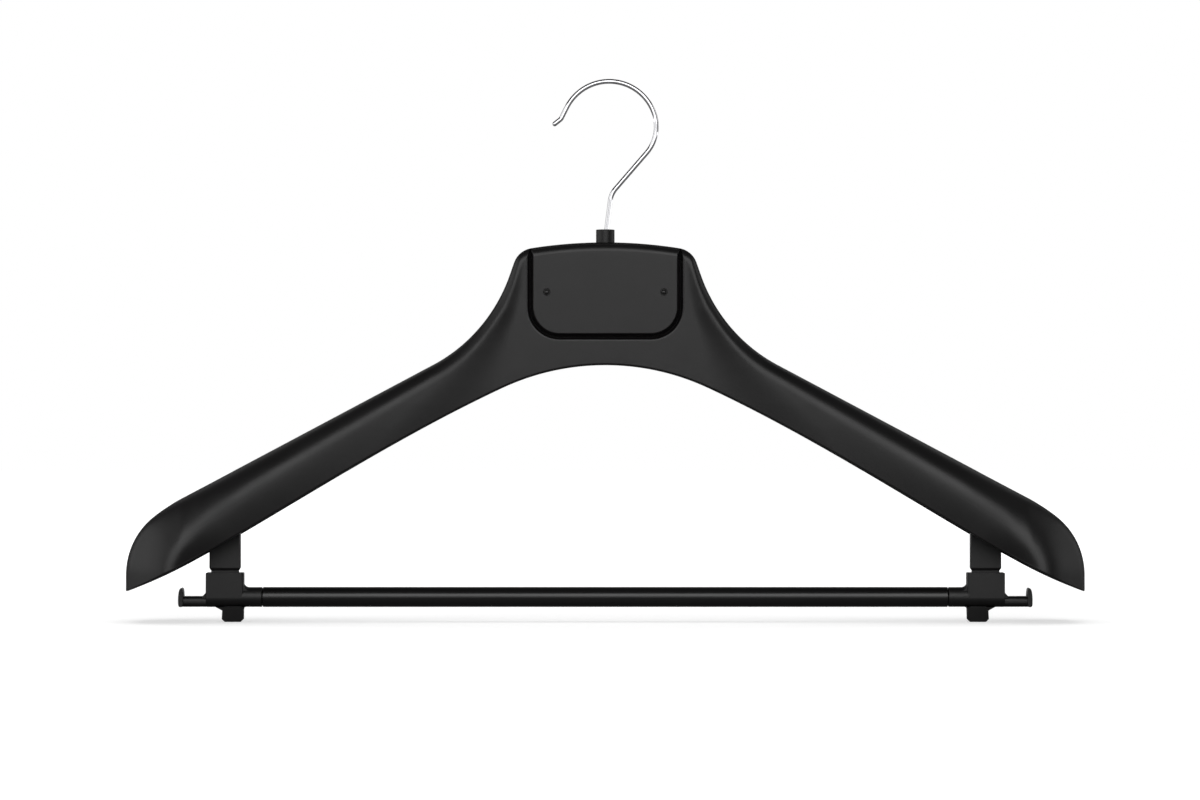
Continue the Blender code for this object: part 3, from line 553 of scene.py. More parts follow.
def section_loop(x, skin=0.0, overrun=0.0, side=1):
    """Points of one section, set in from the outer form by the skin."""
    foot, head = section_ends(x)
    length = max(np.linalg.norm(foot - head), tiny)
    down = (foot - head) / length
    along = np.linspace(0, 1, 161)
    inward = distance_to_crest(head + (foot - head) * along[:, None])
    rise = max(roof_height_at(head[0]) - skin, least_round)
    flat = nose_at(head)
    full = ease(ramp(head[0], depth_start, depth_full))
    start = float(np.interp(skin, inward, along)) if skin else 0.0
    ridge = float(np.interp(skin + rise, inward, along))
    turn = min(ridge, start + (1 - start) * longest_roof)
    turn_in = min(max(float(np.interp(turn, along, inward)) - skin, 0), rise)
    angle = math.acos(1 - turn_in / rise)
    spread = np.linspace(0, 1, roof_rows + 1)
    spread = even_share * spread * (1 - math.cos(angle)) + (1 - even_share) * (1 - np.cos(spread * angle))
    roof = np.interp(skin + rise * spread, inward, along)
    rim = 0.0 if overrun else min(rim_radius, rim_share * length)
    last = 1 - rim / length
    skirt = turn + (last - turn) * (np.arange(1, skirt_rows + 1) / skirt_rows) ** skirt_growth
    fall = fall_at((head + (foot - head) * min(ridge, 1))[0])

    def depth_at(place):
        point = head + (foot - head) * place
        half = half_depth_at(*point) - skin
        inside = max(float(np.interp(place, along, inward)) - skin, 0.0)
        if inside < rise or ridge >= 1:
            run = roof_yoke + (half - roof_yoke) * full
            left = max(1 - inside / rise, 0.0)
            bow = plain_bow + more_bow * ease(ramp(head[0], bow_start, bow_full))
            arch = (1 - left**bow) ** (1 / bow)
            face = 1 - (math.hypot(left, face_round) - face_round) / (math.hypot(1, face_round) - face_round)
            depth = half - run * (1 - arch) * (1 - flat)
            depth -= (run - nose_top) * (1 - face) * flat
            if inside < nose_edge:
                depth -= nose_edge * flat * (1 - math.sqrt(1 - (1 - inside / nose_edge) ** 2))
            return depth
        beyond = (place - ridge) * length
        bend = fall_round - (fall_round - nose_round) * flat
        return half - fall * (beyond - bend * (1 - math.exp(-beyond / bend)))

    points = [(*(head + (foot - head) * p), depth_at(p)) for p in (*roof, *skirt)]
    if overrun:
        points.append((*(foot + down * overrun), points[-1][2]))
    else:
        depth = depth_at(last)
        round_off = min(rim, rim_depth_share * depth)
        for k in range(1, rim_rows + 1):
            bend = math.pi / 2 * k / rim_rows
            place = head + (foot - head) * (last + (1 - last) * math.sin(bend))
            points.append((*place, depth - round_off * (1 - math.cos(bend))))
    middle = [(side * points[0][0], 0.0, points[0][1])]
    front = [(side * px, -py, pz) for px, pz, py in points]
    back = [(side * px, py, pz) for px, pz, py in points]
    return np.array(front[::-1] + middle + back) + (0.0, 0.0, yoke_top)


def loft(name, loops, capped=True):
    """Lay a grid primitive through closed loops and close it into a solid."""
    rows = len(loops[0])
    pick_nothing()
    bpy.ops.mesh.primitive_grid_add(x_subdivisions=rows - 1, y_subdivisions=len(loops) - 1, size=1)
    item = added(name)
    item.data.vertices.foreach_set("co", np.concatenate(loops).ravel())
    edit(item)
    choose("edges", lambda edge: sorted(v.index % rows for v in edge.verts) in ([0, 0], [rows - 1] * 2))
    bpy.ops.mesh.bridge_edge_loops()
    if capped:
        bpy.ops.mesh.select_all(action="SELECT")
        bpy.ops.mesh.fill_holes(sides=0)
    bpy.ops.object.mode_set(mode="OBJECT")
    return settle(item)


# %% Lay the outer form
station_step = 0.0011
tip_zone = 0.004
trials = 1500
tip_trials = 200


def stations():
    """Distances from the middle, spaced evenly along both the crest and the lower edge."""
    near_tip = half_span - tip_zone
    fine = np.linspace(0, near_tip, trials)
    fine = np.concatenate((fine, np.linspace(near_tip, half_span, tip_trials)[1:]))
    lines = [section_ends(x) for x in fine]
    kept = [0]
    for k in range(1, len(fine)):
        foot, head = lines[k]
        step = max(np.linalg.norm(foot - lines[kept[-1]][0]), np.linalg.norm(head - lines[kept[-1]][1]))
        if step > station_step or k == len(fine) - 1:
            kept.append(k)
    return fine[kept]


places = stations()
shell = loft("hanger_shell", [section_loop(x) for x in places], capped=False)
edit(shell)
bpy.ops.mesh.select_all(action="SELECT")
# Only the tiny triangle at the tip is closed: the middle stays open for the mirror.
bpy.ops.mesh.fill_holes(sides=3)
modify(shell, "MIRROR", merge_threshold=merge_distance * 2)
settle(shell)
print(f"outer form: {len(places)} stations a side, {len(shell.data.polygons)} faces")

# %% Round the lowest corner of each nose
tip_round = 0.0008
tip_room = 0.001
tip_step = 9
tip = np.array((half_span, -tip_drop))
corner = fillet(tip - heading(-under_tip_angle), tip, tip + heading(90), tip_round, tip_step)
corner += [(half_span + tip_room, corner[-1][1]), (half_span + tip_room, -tip_drop - tip_room)]
corner += [(corner[0][0], -tip_drop - tip_room)]
for side in (-1, 1):
    loops = [np.array([(side * x, y, z + yoke_top) for x, z in corner]) for y in (-half_span, half_span)]
    carve(shell, loft("tip_corner", loops))
print(f"tips rounded by {tip_round * 1000} mm")

# %% [markdown]
# ## The hollow underside
#
# A body this deep is never moulded solid, because thick plastic sinks as it cools. It is a
# shell of even wall, with thin cross ribs that stop a little above the rim. Each hollow is a
# plug with the same section as the outside, set in by the wall, and a Boolean takes it out.

# %% Plugs for the hollows
wall = 0.0025
yoke_wall = 0.0046
rib = 0.0018
rib_recess = 0.004
boss_half = 0.0065
overrun = 0.002
relief_step_count = 60
plug_step = 0.003
groove_width = 0.0032
panel_half_width = panel_high.x
yoke_hollow_end = panel_half_width + groove_width + fit
arm_hollow_start = yoke_hollow_end + rib
arm_hollow_end = half_span - 0.0080
hollow_shares = (0.0, 0.19, 0.40, 0.59, 1.0)


def plug(name, start, end, side, skin):
    """Inside of the body between two cross ribs, run out past the lower edge."""
    count = max(3, math.ceil((end - start) / plug_step))
    places = np.linspace(start, end, count + 1)
    return loft(name, [section_loop(x, skin, overrun, side) for x in places])


def rib_relief(side):
    """Strip along the lower edge that sets the cross ribs back from the rim."""
    loops = []
    last_rib = arm_hollow_start + (arm_hollow_end - arm_hollow_start) * hollow_shares[-2]
    for x in np.linspace(boss_half, last_rib + 2 * rib, relief_step_count):
        foot_x, depth, foot_z = section_loop(x, wall, overrun)[-1]
        down = np.subtract(*section_ends(x))
        down = down / np.linalg.norm(down)
        room = min(depth, neck_half_depth - yoke_wall) if x < arm_hollow_start else depth - fit
        rise = overrun + min(rib_recess, (half_span - x) / 2)
        high = (foot_x - down[0] * rise, foot_z - down[1] * rise)
        loops.append(np.array([
            (side * high[0], -room, high[1]), (side * foot_x, -room, foot_z),
            (side * foot_x, room, foot_z), (side * high[0], room, high[1]),
        ]))
    return loft("rib_relief", loops)


# %% Leg sockets, hook boss and hollows
leg_half_width = (leg_high.x - leg_low.x) / 2
leg_half_depth = leg_high.y
leg_top = leg_high.z
socket_wall = 0.0022
socket_x = leg_x - leg_half_width - fit - socket_wall
socket_recess = 0.001
socket_foot = yoke_top + float(np.interp(socket_x, under[:, 0], under[:, 1])) + socket_recess
boss_drop = yoke_top - collar_low.z - fit

for side in (-1, 1):
    carve(shell, plug("yoke_hollow", boss_half, yoke_hollow_end, side, yoke_wall))
    edges = [arm_hollow_start + (arm_hollow_end - arm_hollow_start) * share for share in hollow_shares]
    for number, (start, end) in enumerate(zip(edges, edges[1:])):
        hollow = plug("arm_hollow", start + (rib if number else 0), end, side, wall)
        if end == edges[-1]:
            reach = leg_half_width + fit + socket_wall
            deep = leg_half_depth + fit + socket_wall
            low = (side * leg_x - reach, -deep, socket_foot)
            carve(hollow, box("socket", low, (side * leg_x + reach, deep, yoke_top)))
        carve(shell, hollow)
    carve(shell, rib_relief(side))
    reach = leg_half_width + fit
    deep = leg_half_depth + fit
    low = (side * leg_x - reach, -deep, bar_axis)
    carve(shell, box("leg_room", low, (side * leg_x + reach, deep, leg_top + fit)))

boss_floor = yoke_top - boss_drop
deep = neck_half_depth - yoke_wall
low = (-boss_half - fit, -deep, yoke_top - yoke_height - overrun)
carve(shell, box("under_boss", low, (boss_half + fit, deep, boss_floor)))
print(f"hollows cut, {len(shell.data.polygons)} faces")

# %% [markdown]
# ## The groove round the panel
#
# The front panel lies in a deep groove with slanted walls. The groove's outer lip is a shallow
# slope and then a small round: the slope is what catches the light as a thin bright line. On
# the bench the cutter starts as a flat plane with two rounded corners. Insetting the face again
# and again, each time with its own depth, walks down the outer wall, across the bottom and up
# the inner wall to the ledge that the panel lies on. Towards the yoke's round top edge the
# groove narrows to a fine notch, so the cutter's outer wall is drawn in there, step by step.

# %% Cutter of the groove and the ledge
panel_sag = 0.0004
panel_drop = yoke_top - panel_low.z + panel_sag
panel_corner_radius = 0.0124
face_y = -neck_half_depth
above_yoke = 0.006
corner_facets = 16
ledge_depth = 0.00165
groove_depth = 0.0042  # where the slanted walls would meet
lip_slope = 0.222
lip_run = 0.0005
lip_out = 0.0018
lip_edge = 0.00133
lip_radius = 0.0005
slope = groove_width / 2 / groove_depth
groove_middle = panel_half_width + groove_width / 2
runout_drops = (0.0068, 0.0054, 0.0041, 0.0029, 0.0019, 0.0009)
runout_shares = (0.0, 0.14, 0.40, 0.68, 0.84, 0.88)


def shield(name, spread, y):
    """Flat face with two round lower corners, wider than the middle of the groove by the spread."""
    centre_line = groove_width / 2 + spread
    half_width = panel_half_width + centre_line
    low = yoke_top - panel_drop - centre_line
    high = yoke_top + above_yoke
    pick_nothing()
    centre = (low + high) / 2
    bpy.ops.mesh.primitive_plane_add(size=1, location=(0, y, centre), rotation=(math.pi / 2, 0, 0))
    item = added(name)
    item.scale = (2 * half_width, high - low, 1)
    pick(item)
    bpy.ops.object.transform_apply(location=True, rotation=True, scale=True)
    edit(item)
    choose("verts", lambda v: v.co.z < centre)
    radius = panel_corner_radius + centre_line
    bpy.ops.mesh.bevel(offset=radius, segments=corner_facets, affect="VERTICES")
    bpy.ops.mesh.select_mode(type="FACE")
    bpy.ops.mesh.select_all(action="SELECT")
    return item


def walk_in(path):
    """Inset the selected face along a path of (spread, depth) steps."""
    for (spread, depth), (inner, deeper) in zip(path, path[1:]):
        bpy.ops.mesh.inset(thickness=spread - inner, depth=depth - deeper, use_boundary=True)


def close_groove(item, low, high):
    """Narrow the groove towards its upper ends by drawing one wall in to its middle line."""
    edit(item)
    for drop in runout_drops:
        bpy.ops.mesh.select_all(action="SELECT")
        bpy.ops.mesh.bisect(plane_co=(0, 0, yoke_top - drop), plane_no=(0, 0, 1))
    for side in (-1, 1):
        for drop, share, above in zip(runout_drops, runout_shares, runout_drops[1:] + (-1,)):
            floor_z, roof_z = yoke_top - drop - fit / 3, yoke_top - above - fit / 3
            choose("verts", lambda v: low < side * v.co.x < high and floor_z < v.co.z < roof_z)
            bpy.ops.transform.resize(value=(1 - share, 1, 1), center_override=(side * groove_middle, 0, 0))
    bpy.ops.object.mode_set(mode="OBJECT")
    return item


bottom_half = 0.00025
bottom_edge = 0.0035
bottom_depth = 0.0037
tilt = math.atan(lip_slope)
path = [(lip_edge + lip_run + lip_out, -lip_slope * lip_out), (lip_edge, lip_slope * lip_run)]
for turn in np.radians((25, 36, 47, 58, 69.2)):
    across = lip_radius * (math.sin(turn) - math.sin(tilt))
    path.append((lip_edge - across, path[1][1] + lip_radius * (math.cos(tilt) - math.cos(turn))))
path += [(bottom_half, bottom_edge), (0.0, bottom_depth), (-bottom_half, bottom_edge)]
path += [(-(groove_width / 2 - slope * ledge_depth), ledge_depth)]
groove = shield("groove_cutter", path[0][0], face_y + path[0][1])
walk_in(path)
bpy.ops.mesh.select_all(action="SELECT")
bpy.ops.mesh.fill_holes(sides=0)
settle(groove)
close_groove(groove, groove_middle + fit / 3, groove_middle + path[0][0] + fit)
carve(shell, groove)
print(f"groove cut, {groove_width * 1000:.1f} mm wide and {bottom_depth * 1000:.1f} mm deep")

# %% Seat and bore for the collar
collar_radius = collar_high.x
collar_seat = 0.0012
collar_room = collar_radius + 0.0002
spigot_radius = 0.0032
core = 0.0004
seat_z = yoke_top - collar_seat
profile = [(core, boss_floor - overrun), (spigot_radius + fit, boss_floor - overrun)]
profile += [(spigot_radius + fit, seat_z), (collar_room, seat_z)]
profile += [(collar_room, yoke_top + overrun), (core, yoke_top + overrun)]
carve(shell, turned("collar_room", profile))
shade(shell, 12, 60)

# %% [markdown]
# ## The front panel and its studs
#
# The panel is a thin plate. Its sides carry on the slope of the groove and spread a little at
# the top, where the groove closes. Its top edge rolls back with the yoke. A big flat disc with
# a rounded rim has just that rolled edge, so the plate is trimmed by such a disc, and then its
# own edges are bevelled.

# %% Panel
panel_back = panel_high.y
panel_thickness = panel_high.y - panel_low.y
slant = slope * panel_thickness
back_spread = -groove_width / 2 + slant
panel = shield("yoke_panel", back_spread, panel_back)
bpy.ops.mesh.inset(thickness=slant, depth=panel_thickness, use_boundary=True)
bpy.ops.mesh.select_all(action="SELECT")
bpy.ops.mesh.fill_holes(sides=0)
settle(panel)
wall_zone = 0.003
close_groove(panel, panel_half_width - wall_zone, groove_middle)

pick_nothing()
disc_sides = 200
disc_facets = 12
disc_centre = (0, 0, yoke_top - yoke_arch_radius)
bpy.ops.mesh.primitive_cylinder_add(
    vertices=disc_sides, radius=yoke_arch_radius, depth=2 * neck_half_depth, location=disc_centre,
    rotation=(math.pi / 2, 0, 0),
)
disc = settle(added("disc"))
edit(disc)
round_edges(lambda edge: len(edge.link_faces) == 2 and sharp(edge, 60), roof_yoke, disc_facets)
carve(panel, settle(disc), "INTERSECT")

edit(panel)
edge_round = 0.0004
front_of = panel_back - merge_distance * 5
count = round_edges(
    lambda edge: sharp(edge, 35) and max(ends(edge, 1)) < front_of, edge_round, 4, loop_slide=False,
)
print(f"panel: {count} edges bevelled")

# %% Studs in their rings
pin_x = (pin_low.x + pin_high.x) / 2
pin_z = (pin_low.z + pin_high.z) / 2
ring_radius = 0.00165
ring_depth = 0.0008
stud_radius = (pin_high.z - pin_low.z) / 2
stud_top = -pin_low.y - neck_half_depth
ring_floor = neck_half_depth - ring_depth
ring_round = 0.00015
ring_slant = 0.00004
ring_lip = 0.00012
hair = 0.00005
point = 0.0001
stud_sides = 40
for side in (-1, 1):
    profile = [(point, ring_floor), (ring_radius - ring_round, ring_floor)]
    profile += [(ring_radius - ring_slant, ring_floor + ring_lip), (ring_radius, neck_half_depth - ring_lip)]
    profile += [(ring_radius + ring_lip, neck_half_depth + hair), (point, neck_half_depth + hair)]
    carve(panel, turned("well", profile, "Y", (side * pin_x, 0, pin_z), stud_sides))
shade(panel, 35, 100)

stud_base = ring_floor + hair
stud_height = stud_top + neck_half_depth - stud_base
stud_hollow = 0.00002
straight_share = 0.35
profile = [(point, stud_base - stud_hollow), (stud_radius, stud_base)]
profile += [(stud_radius, stud_base + stud_height * straight_share)]
for turn in np.radians(np.linspace(0, 86, 9))[1:]:
    share = straight_share + (1 - straight_share) * math.sin(turn)
    profile.append((stud_radius * math.cos(turn), stud_base + stud_height * share))
stud_right = turned("panel_stud_right", profile, "Y", (pin_x, 0, pin_z), stud_sides)
shade(stud_right, 40)
stud_left = mirror_copy(stud_right, "panel_stud_left")
shade(stud_left, 40)

# %% [markdown]
# ## The hook
#
# The hook is one piece of round wire, bent cold in five bends, with a head upset on its lower
# end and a rounded tip. On the bench it is made like the real one: a circle is pulled up for
# each straight run, and spun round the bend's centre for each bend.

# %% Collar, washer and wire
wire_radius = 0.00115
slip = 0.0001
bore = wire_radius + slip
collar_top = collar_high.z
collar_foot = seat_z + slip
collar_edge = 0.00035
mouth = 0.0021
mouth_depth = 0.0022
profile = [(bore, boss_floor + fit), (bore, collar_top - mouth_depth)]
profile += [(mouth - 3 * slip, collar_top - 4 * slip), (mouth, collar_top - slip)]
profile += [(mouth + 2 * slip, collar_top)]
profile += rounded((collar_radius, collar_top), collar_edge, 1)[::-1]
profile += [(collar_radius, collar_foot), (spigot_radius, collar_foot), (spigot_radius, boss_floor + fit)]
profile += [profile[0]]
collar = turned("collar_bush", profile, sides=72)
shade(collar)

washer_radius = washer_high.x
washer_edge = 0.0002
profile = [(wire_radius + fit, washer_low.z)]
profile += rounded((washer_radius, washer_low.z), washer_edge, -1)[::-1]
profile += rounded((washer_radius, washer_high.z), washer_edge, 1)
profile += [(wire_radius + fit, washer_high.z), profile[0]]
washer = turned("hook_ring", profile, sides=64)
shade(washer)

# %% Bend the wire: each bend is a straight run, a radius and a turn in degrees
shank_bend = (0.0, 0.006, 7.2)
reach_bend = (0.0186, 0.01066, 33.6)
crown_entry = (0.02235, 0.01874, -55.7)
crown_bend = (0.0, 0.02235, -138.6)
lip_bend = (0.0054, 0.0026, 25.5)
lip_straight = 0.0032
bends = (shank_bend, reach_bend, crown_entry, crown_bend, lip_bend)
arc_samples = 60


def rise_of_path():
    """How far the bent wire's centre line rises above its first bend."""
    place, angle, high = np.zeros(2), 90.0, 0.0
    for straight, radius, turn in bends:
        place = place + heading(angle) * straight
        side = math.copysign(1, turn)
        centre = place + side * radius * heading(angle - 90)
        for step in np.linspace(0, turn, arc_samples):
            place = centre - side * radius * heading(angle - step - 90)
            high = max(high, place[1])
        angle -= turn
    return high


first_bend = wire_high.z - wire_radius - rise_of_path()
head_top = washer_low.z - fit
head_low = wire_low.z
head_radius = 0.0023
wire_sides = 32
spin_step = 3


def pull(distance, angle):
    """Pull the wire's open end straight on."""
    way = heading(angle) * distance
    bpy.ops.mesh.extrude_edges_move(TRANSFORM_OT_translate={"value": (way[0], 0, way[1])})
    return way


pick_nothing()
bpy.ops.mesh.primitive_circle_add(
    vertices=wire_sides, radius=head_radius, fill_type="NGON", location=(0, 0, head_low),
)
wire = added("bent_hook")
pick(wire)
bpy.ops.object.transform_apply(location=True, rotation=True, scale=True)
edit(wire)
bpy.ops.mesh.select_mode(type="EDGE")
bpy.ops.mesh.select_all(action="SELECT")
steps = [(head_radius, head_low), (head_radius, head_top)]
steps += [(wire_radius, head_top), (wire_radius, first_bend)]
for (radius, height), (next_radius, next_height) in zip(steps, steps[1:]):
    pull(next_height - height, 90)
    scale = next_radius / radius
    bpy.ops.transform.resize(value=(scale, scale, 1), center_override=(0, 0, next_height))
place, angle = np.array((0.0, first_bend)), 90.0
for straight, radius, turn in bends:
    if straight:
        place = place + pull(straight, angle)
    side = math.copysign(1, turn)
    centre = place + side * radius * heading(angle - 90)
    bpy.ops.mesh.spin(
        steps=math.ceil(abs(turn) / spin_step), angle=-math.radians(turn),
        center=(centre[0], 0, centre[1]), axis=(0, 1, 0),
    )
    angle -= turn
    place = centre - side * radius * heading(angle - 90)
place = place + pull(lip_straight, angle)
forward, radius = 0.0, wire_radius
# The tip's round end: each ring is pulled on a little and made smaller.
for bend in np.radians((20, 40, 58, 74)):
    place = place + pull(wire_radius * math.sin(bend) - forward, angle)
    scale = wire_radius * math.cos(bend) / radius
    bpy.ops.transform.resize(value=(scale, scale, scale), center_override=(place[0], 0, place[1]))
    forward, radius = wire_radius * math.sin(bend), wire_radius * math.cos(bend)
bpy.ops.mesh.edge_face_add()
bpy.ops.object.mode_set(mode="OBJECT")
settle(wire)
shade(wire, 50)
top = max(v.co.z for v in wire.data.vertices)
left = min(v.co.x for v in wire.data.vertices)
print(f"wire top {top:.5f} (solid {wire_high.z:.5f}), left {left:.5f} (solid {wire_low.x:.5f})")

# %% [markdown]
# ## The legs
#
# Two flat posts come down out of the arms. Each is a plain moulded bar with softened edges, a
# short taper at its foot and a thinner tongue that the end bracket grips. A cube is enough to
# start from: its lower face is extruded and resized for the taper and again for the tongue.

# %% Legs
bracket_top = bracket_high.z
neck_gap = 0.0012
leg_foot = bracket_top + neck_gap
foot_taper = 0.0011
foot_inset = 0.0006
tongue_half_width = 0.00645
tongue_half_depth = 0.0021
leg_edge = 0.0005
shoulder_edge = 0.00015


def step_down(distance, half_width, half_depth, from_width, from_depth, z):
    """Extrude the selected lower face and give it a new size."""
    bpy.ops.mesh.extrude_region_move(TRANSFORM_OT_translate={"value": (0, 0, -distance)})
    scale = (half_width / from_width, half_depth / from_depth, 1)
    bpy.ops.transform.resize(value=scale, center_override=(leg_x, 0, z - distance))
    return half_width, half_depth, z - distance


def on_shoulder(edge):
    """Whether an edge lies level and sharp between the leg's foot and its tongue."""
    level = near(*ends(edge, 2)) and leg_foot - fit < edge.verts[0].co.z < leg_top - fit
    return level and sharp(edge, 25) and max(abs(v.co.y) for v in edge.verts) > tongue_half_depth + fit


leg_right = box(
    "leg_post_right", (leg_x - leg_half_width, -leg_half_depth, leg_foot + foot_taper),
    (leg_x + leg_half_width, leg_half_depth, leg_top),
)
edit(leg_right)
round_edges(lambda edge: not near(*ends(edge, 2)), leg_edge, 4)
choose("faces", lambda face: face.normal.z < -0.9)
size = (leg_half_width, leg_half_depth, leg_foot + foot_taper)
size = step_down(foot_taper, leg_half_width - foot_inset, leg_half_depth - foot_inset, *size)
size = step_down(0.0, tongue_half_width, tongue_half_depth, *size)
size = step_down(leg_foot - leg_low.z, tongue_half_width, tongue_half_depth, *size)
round_edges(on_shoulder, shoulder_edge, 2)
settle(leg_right)
shade(leg_right)
leg_left = mirror_copy(leg_right, "leg_post_left")
shade(leg_left)

# %% [markdown]
# ## The end brackets
#
# Each bracket holds everything at its end: the leg's tongue in a block, the bar in a short
# sleeve, a peg with an upturned lip for the loops of skirts, and a nub underneath. The real
# one is a single moulding, so the simple shapes below are joined with Boolean unions after
# their own edges are rounded, and the slot and the bore are cut last. A bevel that ends among
# short curved edges leaves creases in the shading. So the edges round the block's inner face
# are bevelled in one go, apart from the top one, before the sleeve is joined to that face.

# %% Block: a cube whose lower half is as round as the sleeve
block_half = 0.0088
inner = leg_x - block_half
outer = leg_x + block_half
inner_round = 0.0010
small_edge = 0.0003
round_facets = 20
sleeve_radius = bar_radius - 0.00005

low = (inner, -bar_radius, bar_axis - bar_radius)
bracket = box("end_bracket_right", low, (outer, bar_radius, bracket_top))
edit(bracket)
round_edges(
    lambda edge: not near(*ends(edge, 0)) and max(ends(edge, 2)) < bar_axis, sleeve_radius, round_facets,
)
round_edges(
    lambda edge: max(ends(edge, 0)) < inner + fit and min(ends(edge, 2)) < bracket_top - fit, inner_round, 6,
)
round_edges(lambda edge: sharp(edge, 40), small_edge, 3)
settle(bracket)
print(f"block {2000 * block_half:.1f} mm wide, {1000 * (bracket_top - low[2]):.1f} mm high")


# %% Outlines pulled to a thickness
def slab(name, outline, half_depth, edge_round, steps=3):
    """Outline pulled to a thickness, with its long edges rounded."""
    pick_nothing()
    bpy.ops.mesh.primitive_circle_add(vertices=len(outline), radius=0.01, fill_type="NGON")
    item = added(name)
    item.data.vertices.foreach_set("co", [c for x, z in outline for c in (x, -half_depth, z)])
    edit(item)
    bpy.ops.mesh.select_mode(type="FACE")
    bpy.ops.mesh.select_all(action="SELECT")
    bpy.ops.mesh.extrude_region_move(TRANSFORM_OT_translate={"value": (0, 2 * half_depth, 0)})
    if edge_round:
        round_edges(lambda edge: near(*ends(edge, 1)), edge_round, steps)
    return settle(item)


def flowing(points, steps=4):
    """Closed smooth curve through the points."""
    count = len(points)
    spots = np.array(points)
    curve = []
    for k in range(count):
        before, here, after, next_one = (spots[(k + j) % count] for j in (-1, 0, 1, 2))
        for t in np.arange(steps) / steps:
            curve.append(here + 0.5 * t * (after - before + t * (2 * before - 5 * here + 4 * after - next_one
                         + t * (3 * here - before - 3 * after + next_one))))
    return curve


# %% Sleeve: turned, with a flare on its upper half where it meets the block
sleeve_sides = 72
sleeve_end = bracket_low.x
sleeve_edge = 0.0002
sleeve_sunk = inner + 0.003
centre_radius = 0.0005
profile = [(centre_radius, sleeve_end), (sleeve_radius - sleeve_edge, sleeve_end)]
profile += [(sleeve_radius, sleeve_end + sleeve_edge), (sleeve_radius, sleeve_sunk)]
profile += [(centre_radius, sleeve_sunk)]
carve(bracket, turned("sleeve", profile, "X", (0, 0, bar_axis), sleeve_sides), "UNION")

flare_radius = 0.0027
flare_lead = inner - flare_radius - 0.0002
flare_sunk = inner + 0.002
flare_foot = sleeve_radius - 0.0001
profile = [(centre_radius, flare_lead), (flare_foot, flare_lead)]
for turn in np.radians(np.linspace(0, 84, 12)):
    out = sleeve_radius + flare_radius * (1 - math.cos(turn))
    profile.append((out, inner - flare_radius + flare_radius * math.sin(turn)))
profile += [(profile[-1][0], flare_sunk), (centre_radius, flare_sunk)]
flare = turned("flare", profile, "X", (0, 0, bar_axis), sleeve_sides)
deep = bar_radius - inner_round - 0.0002
upper_half = box("upper_half", (0, -deep, bar_axis), (half_span, deep, bracket_top))
carve(flare, upper_half, "INTERSECT")
carve(bracket, flare, "UNION")
print(f"sleeve {(inner - sleeve_end) * 1000:.1f} mm long")

# %% Peg: a bar with rounded edges, and the web in the corner under the block
peg_top = bar_axis + 0.0004
peg_drop = 0.0046
peg_half_depth = 0.0033
peg_round = 0.0022
peg_sunk = 0.002
lip_width = 0.0025
low = (outer - peg_sunk, -peg_half_depth, bar_axis - peg_drop)
peg = box("peg", low, (bracket_high.x - lip_width / 2, peg_half_depth, peg_top))
edit(peg)
round_edges(lambda edge: not near(*ends(edge, 0)), peg_round, 9)
carve(bracket, settle(peg), "UNION")

# Places of the web's corners, outwards from the block and upwards from the peg.
web = 0.0018
web_sunk = -0.001
web_foot = -0.0015
web_round = 0.0007
web_corners = (
    (web_sunk, web_foot), (web, web_foot), (web, -0.0001),
    (0.0004, web - 0.0004), (-0.0001, web + 0.0005), (web_sunk, web + 0.0005),
)
outline = [(outer + x, peg_top + z) for x, z in web_corners]
carve(bracket, slab("corner_web", outline, peg_half_depth, web_round, 4), "UNION")
print(f"peg {(bracket_high.x - outer) * 1000:.1f} mm long")

# %% Lip at the end of the peg
lip_rise = 0.0043
lip_drop = 0.0046
lip_half_depth = 0.0040
lip_round = 0.0005
lip_shares = (
    (0.02, 0.56), (0.04, 0.70), (0.07, 0.83), (0.17, 0.95), (0.38, 1.0), (0.60, 0.97), (0.79, 0.88),
    (0.91, 0.72), (0.98, 0.52), (1.0, 0.33), (0.98, 0.14), (0.86, 0.03), (0.64, 0.0), (0.36, 0.0),
    (0.12, 0.04), (0.03, 0.14), (0.02, 0.34),
)
low_x, low_z = bracket_high.x - lip_width, bar_axis - lip_drop
outline = [(low_x + a * lip_width, low_z + b * (lip_rise + lip_drop)) for a, b in flowing(lip_shares)]
carve(bracket, slab("lip", outline, lip_half_depth, lip_round, 4), "UNION")
print(f"lip {(lip_rise + lip_drop) * 1000:.1f} mm high")

# %% Nub under the block: tapered in depth, joined to the round underside by a thin root
nub_width = 0.0103
nub_low = bracket_low.z
nub_chamfer = 0.0014
nub_web = 0.0028
nub_web_height = 0.0017
nub_flare = 0.00035
nub_round = 0.0011
nub_taper = 0.62
nub_trim = 0.00028
nub_core = 0.001
root_inset = 0.0012
root_half_depth = 0.0016
root_sink = 0.001
nub_sink = 0.0001
nub_edge = inner + nub_width
side_x = inner + nub_sink
under_z = bar_axis - bar_radius + nub_sink
outline = [(side_x - nub_round, under_z)]
for turn in np.radians((30, 60, 90)):
    curve = nub_round * np.array((math.sin(turn), math.cos(turn)))
    outline.append((side_x - nub_round + curve[0], under_z - nub_round + curve[1]))
outline += [
    (side_x, nub_low + nub_chamfer), (side_x + nub_chamfer, nub_low), (nub_edge - nub_chamfer, nub_low),
    (nub_edge, nub_low + nub_chamfer), (nub_edge - nub_flare, under_z - nub_web_height),
    (nub_edge + nub_web, under_z),
]


def on_rim(edge):
    """Whether an edge of the nub lies in its front or back face, or is a sharp slanted one."""
    slanted = not near(*ends(edge, 2)) and edge.verts[0].co.y * edge.verts[1].co.y > 0
    return near(*ends(edge, 1)) or (slanted and abs(edge.verts[0].co.y) > nub_core and sharp(edge, 60))


